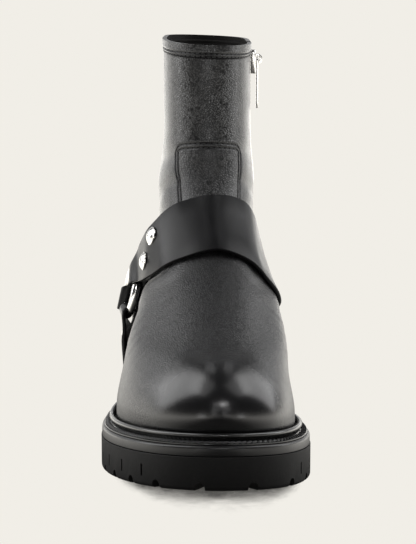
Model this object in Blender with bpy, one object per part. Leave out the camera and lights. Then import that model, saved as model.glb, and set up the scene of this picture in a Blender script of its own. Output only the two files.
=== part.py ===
"""Harness ankle boot for the right foot, every piece shaped on one last.

Metres, +Z up. The toe points along -Y, +X is the medial side with the zip, and -X is the
lateral side with the harness ring. The origin is on the floor under the middle of the outsole.
"""

from bisect import bisect_right
from collections import namedtuple
from functools import lru_cache
from math import cos, pi, radians, sin

import bmesh
import bpy
from mathutils import Matrix, Vector
from mathutils.bvhtree import BVHTree

MM = 0.001
GAP = 0.3 * MM
MEDIAL = 1
LATERAL = -1

for old in list(bpy.data.objects):
    bpy.data.objects.remove(old)
boot = bpy.data.collections.new("harness_boot")
cutters = bpy.data.collections.new("cutters")
for made in (boot, cutters):
    bpy.context.scene.collection.children.link(made)


# The sole's bend, seen from the side: level at the ball, raised toward the toe and at the heel

SEAT = 25.6 * MM
TOE_BREAK = -34 * MM
TOE_RUN = 99 * MM
TOE_CURVE = 1.15
TOE_SPRING = 13 * MM
TREAD_SPRING = 13.8 * MM
HEEL_RISE = 20 * MM
HEEL_RISE_FROM = -8 * MM
HEEL_RISE_TO = 80 * MM


def smooth_step(start, end, at):
    """0 before start, 1 after end, and an even curve between."""
    u = max(0.0, min(1.0, (at - start) / (end - start)))
    return u * u * (3 - 2 * u)


def toe_lift(y, spring):
    return spring * max(0.0, (TOE_BREAK - y) / TOE_RUN) ** TOE_CURVE


def seat_line(y):
    """Height of the upper's lower edge."""
    return SEAT + toe_lift(y, TOE_SPRING) + HEEL_RISE * smooth_step(HEEL_RISE_FROM, HEEL_RISE_TO, y)


# The last: sections from the feather line at the sole up to the collar, in millimetres.
# front and back are where a section meets the ridge line and the heel line. toe, ball, waist and
# heel are its half-widths at 9, 33, 63 and 91 % of its length. swing is how far its front lies to
# the medial side, lean how far its ball lies to the lateral side, and follow is the share of the
# sole's bend that it keeps. The collar rises by its tilt on the lateral side.

Section = namedtuple(
    "Section", "front_y front_z back_y back_z toe ball waist heel swing lean follow"
)
SECTIONS = [
    Section(-133.0, 38.6, 135.0, 45.6, 33.0, 46.0, 32.0, 29.5, 6.5, 2.6, 1.00),
    Section(-135.0, 50.0, 138.0, 60.0, 33.5, 45.3, 32.0, 30.5, 6.5, 2.8, 1.00),
    Section(-131.0, 61.0, 138.5, 74.0, 30.5, 43.0, 32.0, 30.3, 6.5, 2.2, 0.90),
    Section(-120.0, 71.0, 137.0, 86.0, 25.5, 41.2, 31.3, 29.5, 6.2, 0.6, 0.70),
    Section(-101.0, 79.0, 135.0, 97.0, 21.5, 37.4, 30.3, 28.0, 5.8, -0.6, 0.50),
    Section(-70.0, 92.5, 132.0, 107.0, 19.0, 31.0, 28.5, 26.0, 5.2, -0.2, 0.30),
    Section(-42.0, 105.0, 129.5, 118.0, 17.8, 27.0, 25.8, 23.0, 4.2, 0.2, 0.15),
    Section(-17.0, 119.0, 128.0, 131.0, 17.0, 25.4, 26.2, 21.5, 3.2, 0.5, 0.05),
    Section(2.0, 137.5, 127.5, 146.0, 16.8, 25.8, 26.8, 20.3, 2.0, 0.5, 0.00),
    Section(11.5, 160.0, 128.0, 166.0, 16.8, 24.0, 24.6, 18.7, 1.0, 0.0, 0.00),
    Section(16.0, 188.0, 129.5, 192.0, 17.0, 24.0, 24.0, 18.3, 0.5, 0.0, 0.00),
    Section(19.0, 218.5, 131.0, 220.0, 17.5, 24.2, 24.2, 18.8, 0.5, 0.0, 0.00),
]
COLLAR = len(SECTIONS) - 1
STATIONS = [radians(degrees) for degrees in (0, 35, 70, 105, 145, 180)]
TOE_BLUNT = 1.14
HEEL_BLUNT = 1.12
SWING_FADE = 10
BALL_SKEW = 11 * MM
LEAN_ANGLE = radians(80)
LEAN_SPAN = radians(60)
COLLAR_TILT = 2.6 * MM
TILT_FROM = 9.3
TILT_FADE = 1.3
NUDGE = 0.004


def curve_through(knots, values, at, flat_ends=False):
    """The smooth curve through the values at the knots, carried on straight beyond its ends."""
    end = len(knots) - 1

    def slope(i):
        if 0 < i < end:
            return (values[i + 1] - values[i - 1]) / (knots[i + 1] - knots[i - 1])
        if flat_ends:
            return 0.0
        near = min(i, end - 1)
        return (values[near + 1] - values[near]) / (knots[near + 1] - knots[near])

    if at <= knots[0]:
        return values[0] + slope(0) * (at - knots[0])
    if at >= knots[end]:
        return values[end] + slope(end) * (at - knots[end])
    i = bisect_right(knots, at) - 1
    width = knots[i + 1] - knots[i]
    u = (at - knots[i]) / width
    rise = u * u * (3 - 2 * u)
    leave = u * (1 - u) * (1 - u) * width * slope(i)
    arrive = u * u * (u - 1) * width * slope(i + 1)
    return values[i] + (values[i + 1] - values[i]) * rise + leave + arrive


@lru_cache(maxsize=None)
def section_at(level):
    """The section at a level from 0 at the feather line to COLLAR, in metres."""
    rows = list(range(len(SECTIONS)))
    found = [curve_through(rows, column, level) for column in zip(*SECTIONS)]
    return Section(*(value * MM for value in found[:-1]), found[-1])


@lru_cache(maxsize=None)
def last_point(level, angle):
    """The last at this level and angle: 0 is the front, positive runs round the medial side."""
    angle = (angle + pi) % (2 * pi) - pi
    side = MEDIAL if angle >= 0 else LATERAL
    turn = abs(angle)
    row = section_at(level)
    share = (1 - cos(turn)) / 2
    toe = row.toe / sin(STATIONS[1])
    heel = row.heel / sin(STATIONS[4])
    middle = [row.ball / sin(STATIONS[2]), row.waist / sin(STATIONS[3])]
    full = curve_through(
        STATIONS, [toe * TOE_BLUNT, toe, *middle, heel, heel * HEEL_BLUNT], turn, flat_ends=True
    )
    x = side * full * sin(turn) + row.swing * cos(turn / 2) ** SWING_FADE
    x -= row.lean * (1 - smooth_step(0, LEAN_SPAN, abs(turn - LEAN_ANGLE)))
    y = row.front_y + (row.back_y - row.front_y) * share
    y -= side * BALL_SKEW * row.follow * sin(turn) ** 2
    front_rise = row.front_z - seat_line(row.front_y)
    back_rise = row.back_z - seat_line(row.back_y)
    level_z = row.front_z + (row.back_z - row.front_z) * share
    bent_z = seat_line(y) + front_rise + (back_rise - front_rise) * share
    tilt = COLLAR_TILT * ((1 - sin(angle)) / 2) ** TILT_FADE * smooth_step(TILT_FROM, COLLAR, level)
    return Vector((x, y, level_z + (bent_z - level_z) * row.follow + tilt))


@lru_cache(maxsize=None)
def outward(level, angle):
    round_it = last_point(level, angle + NUDGE) - last_point(level, angle - NUDGE)
    up_it = last_point(level + NUDGE, angle) - last_point(level - NUDGE, angle)
    return round_it.cross(up_it).normalized()


def on_upper(level, angle, lift):
    """A point this far out from the upper's outer face."""
    return last_point(level, angle) + outward(level, angle) * lift


def angle_at(level, y, side):
    """The angle at which a section passes this y on one side."""
    low, high = 0.0, pi
    for _ in range(40):
        middle = (low + high) / 2
        if last_point(level, side * middle).y < y:
            low = middle
        else:
            high = middle
    return side * low


def find_on_upper(y, z, side):
    """The level and angle of the point with this y and z on one side."""
    low, high = 0.0, COLLAR + 1.0
    for _ in range(30):
        level = (low + high) / 2
        if last_point(level, angle_at(level, y, side)).z < z:
            low = level
        else:
            high = level
    return low, angle_at(low, y, side)


# Solids: a skin over loops of points, with a material of its own


def add_object(name, mesh, collection):
    bmesh.ops.recalc_face_normals(mesh, faces=mesh.faces)
    data = bpy.data.meshes.new(name)
    mesh.to_mesh(data)
    mesh.free()
    obj = bpy.data.objects.new(name, data)
    collection.objects.link(obj)
    if collection is cutters:
        obj.hide_render = True
        obj.display_type = "WIRE"
    return obj


def loft(name, loops, ring=False, collection=boot):
    """Solid over closed loops of points. Its ends are capped, or joined up when it is a ring."""
    mesh = bmesh.new()
    rows = [[mesh.verts.new(point) for point in loop] for loop in loops]
    following = rows[1:] + rows[:1] if ring else rows[1:]
    for row, other in zip(rows, following):
        for i in range(len(row)):
            j = (i + 1) % len(row)
            mesh.faces.new((row[i], row[j], other[j], other[i]))
    if not ring:
        for row in (rows[0], rows[-1]):
            for i in range((len(row) - 1) // 2):
                mesh.faces.new(dict.fromkeys((row[i], row[i + 1], row[-2 - i], row[-1 - i])))
    return add_object(name, mesh, collection)


def cut(obj, cutter, operation="DIFFERENCE", solver="EXACT"):
    step = obj.modifiers.new(cutter.name, "BOOLEAN")
    step.operation = operation
    step.solver = solver
    step.object = cutter


def finish(obj, colour, roughness, metallic=0.0):
    material = bpy.data.materials.new(obj.name)
    material.use_nodes = True
    shader = material.node_tree.nodes["Principled BSDF"]
    shader.inputs["Base Color"].default_value = (*colour, 1)
    shader.inputs["Roughness"].default_value = roughness
    shader.inputs["Metallic"].default_value = metallic
    obj.data.materials.append(material)


BLACK_LEATHER = (0.012, 0.012, 0.013)
BLACK_RUBBER = (0.010, 0.010, 0.010)
MIDSOLE_GREY = (0.030, 0.030, 0.030)
NICKEL = (0.62, 0.61, 0.59)
TAN_BOARD = (0.10, 0.07, 0.05)


# Upper: one hollow wall carried round the last, thicker at the folded collar band

WALL = 2.4 * MM
BAND_STEP = 0.7 * MM
BAND_FROM = COLLAR - 0.22
UPPER_COLUMNS = 42
OUTER_LEVELS = [0, 0.35, 0.7, 1.1, 1.5, 2, 2.5, 3, 3.5, 4, 4.5, 5]
OUTER_LEVELS += [5.6, 6.2, 6.7, 7.2, 7.7, 8.2, 8.7, 9.2, 10]
INNER_LEVELS = [9.6, 8.4, 7.5, 6.6, 5.6, 4.5, 3.4, 2.2, 1, 0]
RIM_ROUND = 0.02
RIM_INSET = 1 * MM


def wall_section(angle):
    """The wall's closed section at this angle: up the outside, over the rim and down the inside."""
    path = [(level, 0) for level in OUTER_LEVELS]
    path += [(BAND_FROM - 0.01, 0), (BAND_FROM, BAND_STEP), (COLLAR - 0.01, BAND_STEP)]
    path += [(COLLAR + RIM_ROUND, BAND_STEP - RIM_INSET), (COLLAR + RIM_ROUND, RIM_INSET - WALL)]
    path += [(COLLAR - RIM_ROUND, -WALL)]
    path += [(level, -WALL) for level in INNER_LEVELS]
    return [on_upper(level, angle, lift) for level, lift in path]


def around(count):
    """Angles all the way round, none of them on the ridge line."""
    return [2 * pi * (i + 0.5) / count - pi for i in range(count)]


upper = loft("upper", [wall_section(angle) for angle in around(UPPER_COLUMNS)], ring=True)
finish(upper, BLACK_LEATHER, 0.42)


# Vamp tongue: the rounded tab of the vamp that lies on the front of the shaft

TONGUE_ANGLE = radians(37)
TONGUE_FOOT = 6.75
TONGUE_TOP = 9.3
TONGUE_CROWN = 0.10
TONGUE_CORNER = 0.3
TONGUE_CORNER_FROM = 0.72
TONGUE_THICK = 1.1 * MM
TONGUE_LIFT = 0.7 * MM
TONGUE_ROWS = 10
TONGUE_COLUMNS = 10


def tongue_row(share):
    """Across the tab at this share of its height, under side then top side."""
    places = []
    for i in range(TONGUE_COLUMNS + 1):
        across = 2 * i / TONGUE_COLUMNS - 1
        past = max(0.0, (abs(across) - TONGUE_CORNER_FROM) / (1 - TONGUE_CORNER_FROM))
        top = TONGUE_TOP - TONGUE_CROWN * across**2 - TONGUE_CORNER * past**3
        places.append((TONGUE_FOOT + (top - TONGUE_FOOT) * share, TONGUE_ANGLE * across))
    under = [on_upper(level, angle, TONGUE_LIFT) for level, angle in places]
    top_lift = TONGUE_LIFT + TONGUE_THICK
    return under + [on_upper(level, angle, top_lift) for level, angle in reversed(places)]


vamp_tongue = loft("vamp_tongue", [tongue_row(i / TONGUE_ROWS) for i in range(TONGUE_ROWS + 1)])
finish(vamp_tongue, BLACK_LEATHER, 0.42)


# Sole stack: each layer spreads out from the feather line and follows the seat line

SOLE_POINTS = 58
EDGE_NARROWING = 0.2
WELT_UNDER = 2.3 * MM
MIDSOLE_TOP = WELT_UNDER + GAP
MIDSOLE_THICK = 5.2 * MM
OUTSOLE_TOP = MIDSOLE_TOP + MIDSOLE_THICK + GAP
ARCH_FROM = -4 * MM
HEEL_BREAST = 56 * MM
HEEL_HEIGHT = 24.8 * MM
HEEL_SLOPE = 0.044


def outline_point(angle, spread):
    """The feather line moved out over the floor; an outer edge is narrower behind the ball."""
    along = last_point(0, angle + NUDGE) - last_point(0, angle - NUDGE)
    out = Vector((along.y, -along.x, 0)).normalized()
    point = last_point(0, angle)
    if spread > 0:
        spread *= 1 - EDGE_NARROWING * smooth_step(-20 * MM, 50 * MM, point.y)
    return point + out * spread


def sole_loop(angles, spread, height):
    """The outline at this spread, at a height that follows y."""
    loop = []
    for angle in angles:
        point = outline_point(angle, spread)
        loop.append(Vector((point.x, point.y, height(point.y))))
    return loop


def tread_line(y):
    """The underside of the outsole: the tread at the front, the arch, and a flat seat for the heel."""
    heel_seat = HEEL_HEIGHT + HEEL_SLOPE * (y - HEEL_BREAST)
    return heel_seat * smooth_step(ARCH_FROM, HEEL_BREAST, y) + toe_lift(y, TREAD_SPRING)


def below_seat(drop):
    return lambda y: seat_line(y) - drop


def above_tread(rise):
    return lambda y: tread_line(y) + rise


def across_from(angle):
    """The lateral angle straight across the sole from a medial one."""
    return angle_at(0, last_point(0, angle).y, LATERAL)


medial_half = [2 * pi * (i + 0.5) / SOLE_POINTS for i in range(SOLE_POINTS // 2)]
full_outline = [across_from(angle) for angle in reversed(medial_half)] + medial_half

# The welt's section: how far out from the feather line, and how high above its underside, in mm.
WELT_SECTION = [
    (-5.0, 0.0),
    (7.2, 0.0),
    (7.2, 1.3),
    (4.5, 1.3),
    (4.2, 4.6),
    (3.4, 5.9),
    (2.2, 5.9),
    (1.3, 4.8),
    (1.2, 1.8),
    (-5.0, 1.8),
]


def welt_section(angle):
    """The flat ledge and the storm bead, cut across at this angle."""
    section = []
    for spread, rise in WELT_SECTION:
        point = outline_point(angle, spread * MM)
        foot = last_point(0, angle)
        height = seat_line(point.y if spread > 0 else foot.y) - WELT_UNDER
        section.append(Vector((point.x, point.y, height + rise * MM)))
    return section


welt = loft("welt", [welt_section(angle) for angle in full_outline], ring=True)
finish(welt, BLACK_RUBBER, 0.45)

MIDSOLE_EDGE = 7.9 * MM
MIDSOLE_ROUND = 1 * MM
midsole = loft(
    "midsole",
    [
        sole_loop(full_outline, MIDSOLE_EDGE - MIDSOLE_ROUND, below_seat(MIDSOLE_TOP + MIDSOLE_THICK)),
        sole_loop(full_outline, MIDSOLE_EDGE, below_seat(MIDSOLE_TOP + MIDSOLE_THICK - MIDSOLE_ROUND)),
        sole_loop(full_outline, MIDSOLE_EDGE, below_seat(MIDSOLE_TOP + MIDSOLE_ROUND)),
        sole_loop(full_outline, MIDSOLE_EDGE - MIDSOLE_ROUND, below_seat(MIDSOLE_TOP)),
    ],
)
finish(midsole, MIDSOLE_GREY, 0.4)

INSOLE_IN = -3.2 * MM
INSOLE_LIFT = 0.8 * MM
INSOLE_THICK = 3 * MM
insole = loft(
    "insole",
    [
        sole_loop(full_outline, INSOLE_IN, below_seat(-INSOLE_LIFT)),
        sole_loop(full_outline, INSOLE_IN, below_seat(-INSOLE_LIFT - INSOLE_THICK)),
    ],
)
finish(insole, TAN_BOARD, 0.7)

OUTSOLE_EDGE = 8.3 * MM
TOP_ROUND = 1 * MM
FOOT_ROUND = 2.5 * MM
FOOT_SHOULDER = 0.6 * MM
outsole = loft(
    "outsole",
    [
        sole_loop(full_outline, OUTSOLE_EDGE - FOOT_ROUND, tread_line),
        sole_loop(full_outline, OUTSOLE_EDGE - FOOT_SHOULDER, above_tread(FOOT_ROUND / 2)),
        sole_loop(full_outline, OUTSOLE_EDGE, above_tread(FOOT_ROUND)),
        sole_loop(full_outline, OUTSOLE_EDGE, below_seat(OUTSOLE_TOP + TOP_ROUND)),
        sole_loop(full_outline, OUTSOLE_EDGE - TOP_ROUND, below_seat(OUTSOLE_TOP)),
    ],
)
finish(outsole, BLACK_RUBBER, 0.5)

HEEL_SIDE_POINTS = 15
HEEL_ROUND = 1.5 * MM
HEEL_TAPER = 0.4 * MM
breast_angle = angle_at(0, HEEL_BREAST, MEDIAL)
heel_step = (pi - breast_angle) / (HEEL_SIDE_POINTS - 0.5)
medial_heel = [breast_angle + heel_step * i for i in range(HEEL_SIDE_POINTS)]
heel_outline = medial_heel + [2 * pi + across_from(angle) for angle in reversed(medial_heel)]


def floor_at(rise):
    return lambda y: rise


heel = loft(
    "heel",
    [
        sole_loop(heel_outline, OUTSOLE_EDGE - HEEL_ROUND, floor_at(0)),
        sole_loop(heel_outline, OUTSOLE_EDGE - HEEL_TAPER, floor_at(HEEL_ROUND)),
        sole_loop(heel_outline, OUTSOLE_EDGE, above_tread(-2 * GAP)),
    ],
)
finish(heel, BLACK_RUBBER, 0.5)


# Lugs: grooves run in from the edge, a channel follows the outline, bars cross the middle

GROOVE_WIDE = 5.2 * MM
GROOVE_HIGH = 4.2 * MM
GROOVE_BELOW = 4 * MM
LUG_PITCH = 20.5 * MM
LUG_PHASE = 0.18
LUGS_BACK_TO = 2 * MM
GROOVE_OUT = 12 * MM
GROOVE_IN = -13 * MM
CHANNEL_AT = -15 * MM
CHANNEL_WIDE = 4 * MM
ARCH_POINTS = 5


def groove_section(place, along):
    """A round-topped slot's outline, square to its run, with its mouth at this place."""
    across = Vector((-along.y, along.x, 0)).normalized()
    up = along.cross(across).normalized()
    up = up if up.z > 0 else -up
    half = GROOVE_WIDE / 2
    loop = [place - across * half - up * GROOVE_BELOW, place + across * half - up * GROOVE_BELOW]
    for i in range(ARCH_POINTS):
        turn = pi * i / (ARCH_POINTS - 1)
        loop.append(place + across * half * cos(turn) + up * (GROOVE_HIGH - half + half * sin(turn)))
    return loop[1:2] + loop[2:] + loop[0:1]


def groove(name, path):
    """A slot cutter along a path of points on the tread."""
    loops = []
    for i, place in enumerate(path):
        along = path[min(i + 1, len(path) - 1)] - path[max(i - 1, 0)]
        loops.append(groove_section(place, along))
    return loft(name, loops, collection=cutters)


def joined(name, pieces):
    """One cutter made of pieces that lie apart."""
    mesh = bmesh.new()
    for piece in pieces:
        mesh.from_mesh(piece.data)
        bpy.data.objects.remove(piece)
    return add_object(name, mesh, cutters)


def tread_place(angle, spread, height):
    point = outline_point(angle, spread)
    return Vector((point.x, point.y, height(point.y)))


def edge_angles(start, end, pitch, phase):
    """Angles spaced evenly along the outline between two angles, the first one phase of a step in."""
    steps = 600
    points = [outline_point(start + (end - start) * i / steps, 0) for i in range(steps + 1)]
    runs = [0.0]
    for i in range(steps):
        runs.append(runs[-1] + (points[i + 1].xy - points[i].xy).length)
    count = round(runs[-1] / pitch)
    wanted = [runs[-1] * (i + phase) / count for i in range(count)]
    return [start + (end - start) * bisect_right(runs, run) / steps for run in wanted]


front_from = angle_at(0, LUGS_BACK_TO, LATERAL)
front_to = angle_at(0, LUGS_BACK_TO, MEDIAL)
side_grooves = []
for angle in edge_angles(front_from, front_to, LUG_PITCH, LUG_PHASE):
    ends = [tread_place(angle, spread, tread_line) for spread in (GROOVE_OUT, GROOVE_IN)]
    side_grooves.append(groove("side_groove", ends))
cut(outsole, joined("side_grooves", side_grooves))

CHANNEL_STEPS = 24
channel_path = []
for i in range(CHANNEL_STEPS + 1):
    angle = front_from + (front_to - front_from) * i / CHANNEL_STEPS
    channel_path.append(tread_place(angle, CHANNEL_AT, tread_line))
cut(outsole, groove("tread_channel", channel_path))

BAR_GROOVES_Y = [-96, -74, -52, -30, -8]
BAR_SWEEP = 9 * MM
BAR_MARGIN = 1.5 * MM
bar_grooves = []
for row_y in BAR_GROOVES_Y:
    ends = []
    for side in (LATERAL, MEDIAL):
        angle = angle_at(0, row_y * MM, side)
        ends.append(tread_place(angle, CHANNEL_AT - BAR_MARGIN, tread_line))
    tip = (ends[0] + ends[1]) / 2
    tip.y -= BAR_SWEEP
    tip.z = tread_line(tip.y)
    bar_grooves.append(groove("bar_groove", [ends[0], tip, ends[1]]))
cut(outsole, joined("bar_grooves", bar_grooves))

HEEL_LUG_PHASE = 0.5
heel_grooves = []
for angle in edge_angles(heel_outline[0], heel_outline[-1], LUG_PITCH, HEEL_LUG_PHASE):
    ends = [tread_place(angle, spread, floor_at(0)) for spread in (GROOVE_OUT, GROOVE_IN)]
    heel_grooves.append(groove("heel_groove", ends))
cut(heel, joined("heel_grooves", heel_grooves))

HEEL_BARS_Y = [78, 100]
heel_bars = []
for row_y in HEEL_BARS_Y:
    ends = []
    for side in (LATERAL, MEDIAL):
        ends.append(tread_place(angle_at(0, row_y * MM, side), CHANNEL_AT, floor_at(0)))
    heel_bars.append(groove("heel_bar", ends))
cut(heel, joined("heel_bars", heel_bars))


# Straps: taut bands that rest on the upper and stand off where they run to the ring

STRAP_ACROSS = 5
STRAP_THICK = 2.2 * MM
FOLD_THICK = 4.2 * MM
LOOK_FROM = 25 * MM
MOST_SAG = 4 * MM
REST = 2.3
STRAIGHT = 1.0
SOFT = 0.15
Knot = namedtuple("Knot", "place normal half_width thick stiff")
Station = namedtuple("Station", "under normal thick")

cover = bmesh.new()
for piece in (upper, vamp_tongue):
    cover.from_mesh(piece.data)
cover_tree = BVHTree.FromBMesh(cover)
cover.free()


def rest_knot(y, z, side, half_width, lift=0.0, thick=STRAP_THICK, stiff=SOFT):
    """Where a strap's middle crosses the upper, given by its y and z on one side."""
    level, angle = find_on_upper(y * MM, z * MM, side)
    return Knot(on_upper(level, angle, lift), outward(level, angle), half_width, thick, stiff)


def line_knot(level, angle, half_width, stiff):
    """Where a strap's middle crosses the ridge line at angle 0 or the heel line at angle pi."""
    return Knot(on_upper(level, angle, 0), outward(level, angle), half_width, STRAP_THICK, stiff)


def stations_along(knots, count):
    """Evenly spaced stations on the smooth curve through the knots, lifted clear of the upper.

    A straight band keeps a straight line across; a soft one bends across to lie on the leather.
    """
    runs = [0.0]
    for knot, other in zip(knots, knots[1:]):
        runs.append(runs[-1] + (other.place - knot.place).length)

    def blend(run, pick):
        return curve_through(runs, [pick(knot) for knot in knots], run)

    def place_at(run):
        return Vector([blend(run, lambda knot, i=i: knot.place[i]) for i in range(3)])

    rows, lifts, normals, thicks = [], [], [], []
    for i in range(count + 1):
        run = runs[-1] * i / count
        along = (place_at(run + MM) - place_at(run - MM)).normalized()
        normal = Vector([blend(run, lambda knot, i=i: knot.normal[i]) for i in range(3)])
        normal = (normal - along * normal.dot(along)).normalized()
        across = along.cross(normal) * blend(run, lambda knot: knot.half_width)
        row = [place_at(run) + across * (2 * j / (STRAP_ACROSS - 1) - 1) for j in range(STRAP_ACROSS)]
        needs = [lift_needed(point, normal) for point in row]
        stiff = max(0.0, min(1.0, blend(run, lambda knot: knot.stiff)))
        straight = max(0.0, *needs)
        rows.append(row)
        lifts.append([need + (straight - need) * stiff for need in needs])
        normals.append(normal)
        thicks.append(blend(run, lambda knot: knot.thick))
    lifts = list(zip(*(evened(column) for column in zip(*lifts))))
    return [
        Station([point + normal * lift for point, lift in zip(row, raised)], normal, thick)
        for row, raised, normal, thick in zip(rows, lifts, normals, thicks)
    ]


def lift_needed(point, normal):
    """How far a point must move along the normal to lie on the upper, with the gap between."""
    reach = cover_tree.ray_cast(point + normal * LOOK_FROM, -normal, 2 * LOOK_FROM)[3]
    return 0.0 if reach is None else max(-MOST_SAG, LOOK_FROM - reach + GAP * REST)


def evened(values):
    """The values evened out along the strap, none of them lowered."""

    def near(of, i):
        return of[max(0, i - 1) : i + 2]

    highest = [max(near(values, i)) for i in range(len(values))]
    return [sum(near(highest, i)) / len(near(highest, i)) for i in range(len(values))]


def band_section(station):
    """The band's outline at a station: across its under side and back across its top side."""
    return station.under + [point + station.normal * station.thick for point in reversed(station.under)]


def top_place(stations, share, across):
    """A point on a band's top side and the way it faces.

    share is how far along the band it lies, and across runs from -1 at its upper edge to 1 at its lower.
    """
    run = share * (len(stations) - 1)
    near = min(int(run), len(stations) - 2)
    spot = (across + 1) / 2 * (STRAP_ACROSS - 1)
    column = min(int(spot), STRAP_ACROSS - 2)
    tops = []
    for station in stations[near : near + 2]:
        under = station.under[column].lerp(station.under[column + 1], spot - column)
        tops.append(under + station.normal * station.thick)
    normal = stations[near].normal.lerp(stations[near + 1].normal, run - near).normalized()
    return tops[0].lerp(tops[1], run - near), normal


# Harness ring: round wire on the lateral side, held by the ends of three straps

RING_CENTRE = Vector((-42.3, 32.0, 82.5)) * MM
RING_LEAN = radians(12)
RING_YAW = radians(10)
RING_RADIUS = 14 * MM
WIRE_RADIUS = 2.3 * MM
RING_STEPS = 26
WIRE_STEPS = 9
ring_axis = Vector((-cos(RING_YAW), -sin(RING_YAW), 0)) * cos(RING_LEAN)
ring_axis.z = sin(RING_LEAN)
ring_front = Vector((sin(RING_YAW), -cos(RING_YAW), 0))
ring_up = ring_axis.cross(ring_front)
ring_up = ring_up if ring_up.z > 0 else -ring_up


def ring_direction(angle):
    return ring_front * cos(angle) + ring_up * sin(angle)


def torus(name, wire, collection=boot):
    loops = []
    for i in range(RING_STEPS):
        out = ring_direction(2 * pi * i / RING_STEPS)
        loop = []
        for j in range(WIRE_STEPS):
            turn = 2 * pi * j / WIRE_STEPS
            radius = RING_RADIUS + wire * cos(turn)
            loop.append(RING_CENTRE + out * radius + ring_axis * wire * sin(turn))
        loops.append(loop)
    return loft(name, loops, ring=True, collection=collection)


harness_ring = torus("harness_ring", WIRE_RADIUS)
finish(harness_ring, NICKEL, 0.2, 1.0)

RING_ROOM = 0.5 * MM
LOOP_RADIUS = 4.6 * MM
LOOP_SHIFT = 1.1 * MM
LOOP_HALF = 6.9 * MM
LOOP_LIP = 0.4 * MM
LOOP_STEPS = 14
ring_room = torus("ring_room", WIRE_RADIUS + RING_ROOM, cutters)


def loop_knot(angle):
    """The strap's middle where it meets its loop round the ring's wire."""
    middle = RING_CENTRE + ring_direction(angle) * (RING_RADIUS - LOOP_SHIFT)
    place = middle - ring_axis * FOLD_THICK / 2
    return Knot(place, ring_axis, LOOP_HALF - LOOP_LIP, FOLD_THICK, STRAIGHT)


def loop_barrel(name, angle):
    """The folded end of a strap round the wire, as a short round bar."""
    out = ring_direction(angle)
    along = ring_axis.cross(out)
    middle = RING_CENTRE + out * (RING_RADIUS - LOOP_SHIFT)
    loops = []
    for end in (-LOOP_HALF, LOOP_HALF):
        loop = []
        for i in range(LOOP_STEPS):
            turn = 2 * pi * i / LOOP_STEPS
            spoke = out * cos(turn) + ring_axis * sin(turn)
            loop.append(middle + along * end + spoke * LOOP_RADIUS)
        loops.append(loop)
    return loft(name, loops, collection=cutters)


TRIM_OUT = 16 * MM
TRIM_DEEP = 20 * MM
TRIM_RISE = 4.2 * MM
strap_trim = loft(
    "strap_trim",
    [
        sole_loop(full_outline, TRIM_OUT, below_seat(TRIM_DEEP)),
        sole_loop(full_outline, TRIM_OUT, below_seat(-TRIM_RISE)),
    ],
    collection=cutters,
)


def strap(name, ring_angle, knots, count):
    """A band from the ring through the knots, looped round the wire and cut off along the welt."""
    stations = stations_along([loop_knot(ring_angle), *knots], count)
    band = loft(name, [band_section(station) for station in stations])
    cut(band, loop_barrel(name + "_loop", ring_angle), "UNION")
    cut(band, ring_room, solver="MANIFOLD")
    cut(band, strap_trim, solver="MANIFOLD")
    finish(band, BLACK_LEATHER, 0.3)
    return stations


INSTEP_ANGLE = radians(48)
HEEL_ANGLE = radians(217)
SIDE_ANGLE = radians(297)

LONG_STRAP_STEPS = 26
SHORT_STRAP_STEPS = 8
FALL_LOW = Vector((-32.0, 15.2, 100.6)) * MM
FALL_HIGH = Vector((-26.6, -2.4, 111.6)) * MM
FALL_EDGE = Vector((-14.0, -13.1, 121.3)) * MM
fall_normal = Vector((-0.91, -0.33, 0.24)).normalized()
edge_normal = Vector((-0.54, -0.58, 0.61)).normalized()
instep_stations = strap(
    "instep_strap",
    INSTEP_ANGLE,
    [
        Knot(FALL_LOW, fall_normal, 12 * MM, FOLD_THICK, STRAIGHT),
        Knot(FALL_HIGH, fall_normal, 15.8 * MM, STRAP_THICK, STRAIGHT),
        Knot(FALL_EDGE, edge_normal, 19.5 * MM, STRAP_THICK, STRAIGHT),
        line_knot(7.23, 0, 19.8 * MM, STRAIGHT),
        rest_knot(-3, 112.2, MEDIAL, 23.6 * MM),
        rest_knot(10.5, 97, MEDIAL, 21.5 * MM),
        rest_knot(33.5, 79.5, MEDIAL, 14.5 * MM),
        rest_knot(51, 61, MEDIAL, 12.3 * MM),
        rest_knot(58, 44, MEDIAL, 12 * MM),
    ],
    LONG_STRAP_STEPS,
)
heel_stations = strap(
    "heel_strap",
    HEEL_ANGLE,
    [
        rest_knot(70, 73, LATERAL, 10 * MM, lift=1 * MM, thick=FOLD_THICK, stiff=STRAIGHT),
        rest_knot(110, 82, LATERAL, 12 * MM),
        line_knot(3.7, pi, 12 * MM, SOFT),
        rest_knot(116, 87, MEDIAL, 12 * MM),
        rest_knot(99, 74, MEDIAL, 12 * MM),
        rest_knot(90, 61, MEDIAL, 12 * MM),
        rest_knot(86, 45, MEDIAL, 12 * MM),
    ],
    LONG_STRAP_STEPS,
)
SIDE_KNEE = Vector((-42.4, 26.5, 56.0)) * MM
SIDE_FOOT = Vector((-35.5, 27.0, 36.0)) * MM
side_normal = Vector((-0.95, 0.31, 0.10)).normalized()
side_stations = strap(
    "side_strap",
    SIDE_ANGLE,
    [
        Knot(SIDE_KNEE, side_normal, 10 * MM, STRAP_THICK, STRAIGHT),
        Knot(SIDE_FOOT, side_normal, 11.5 * MM, STRAP_THICK, STRAIGHT),
    ],
    SHORT_STRAP_STEPS,
)


# Rivets: domed nickel heads that close each strap's fold

RIVET_RINGS = [(5.1, 0.0), (5.0, 0.9), (3.8, 1.9), (1.7, 2.5)]
RIVET_STEPS = 12
RIVET_LIFT = 3 * GAP


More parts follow.
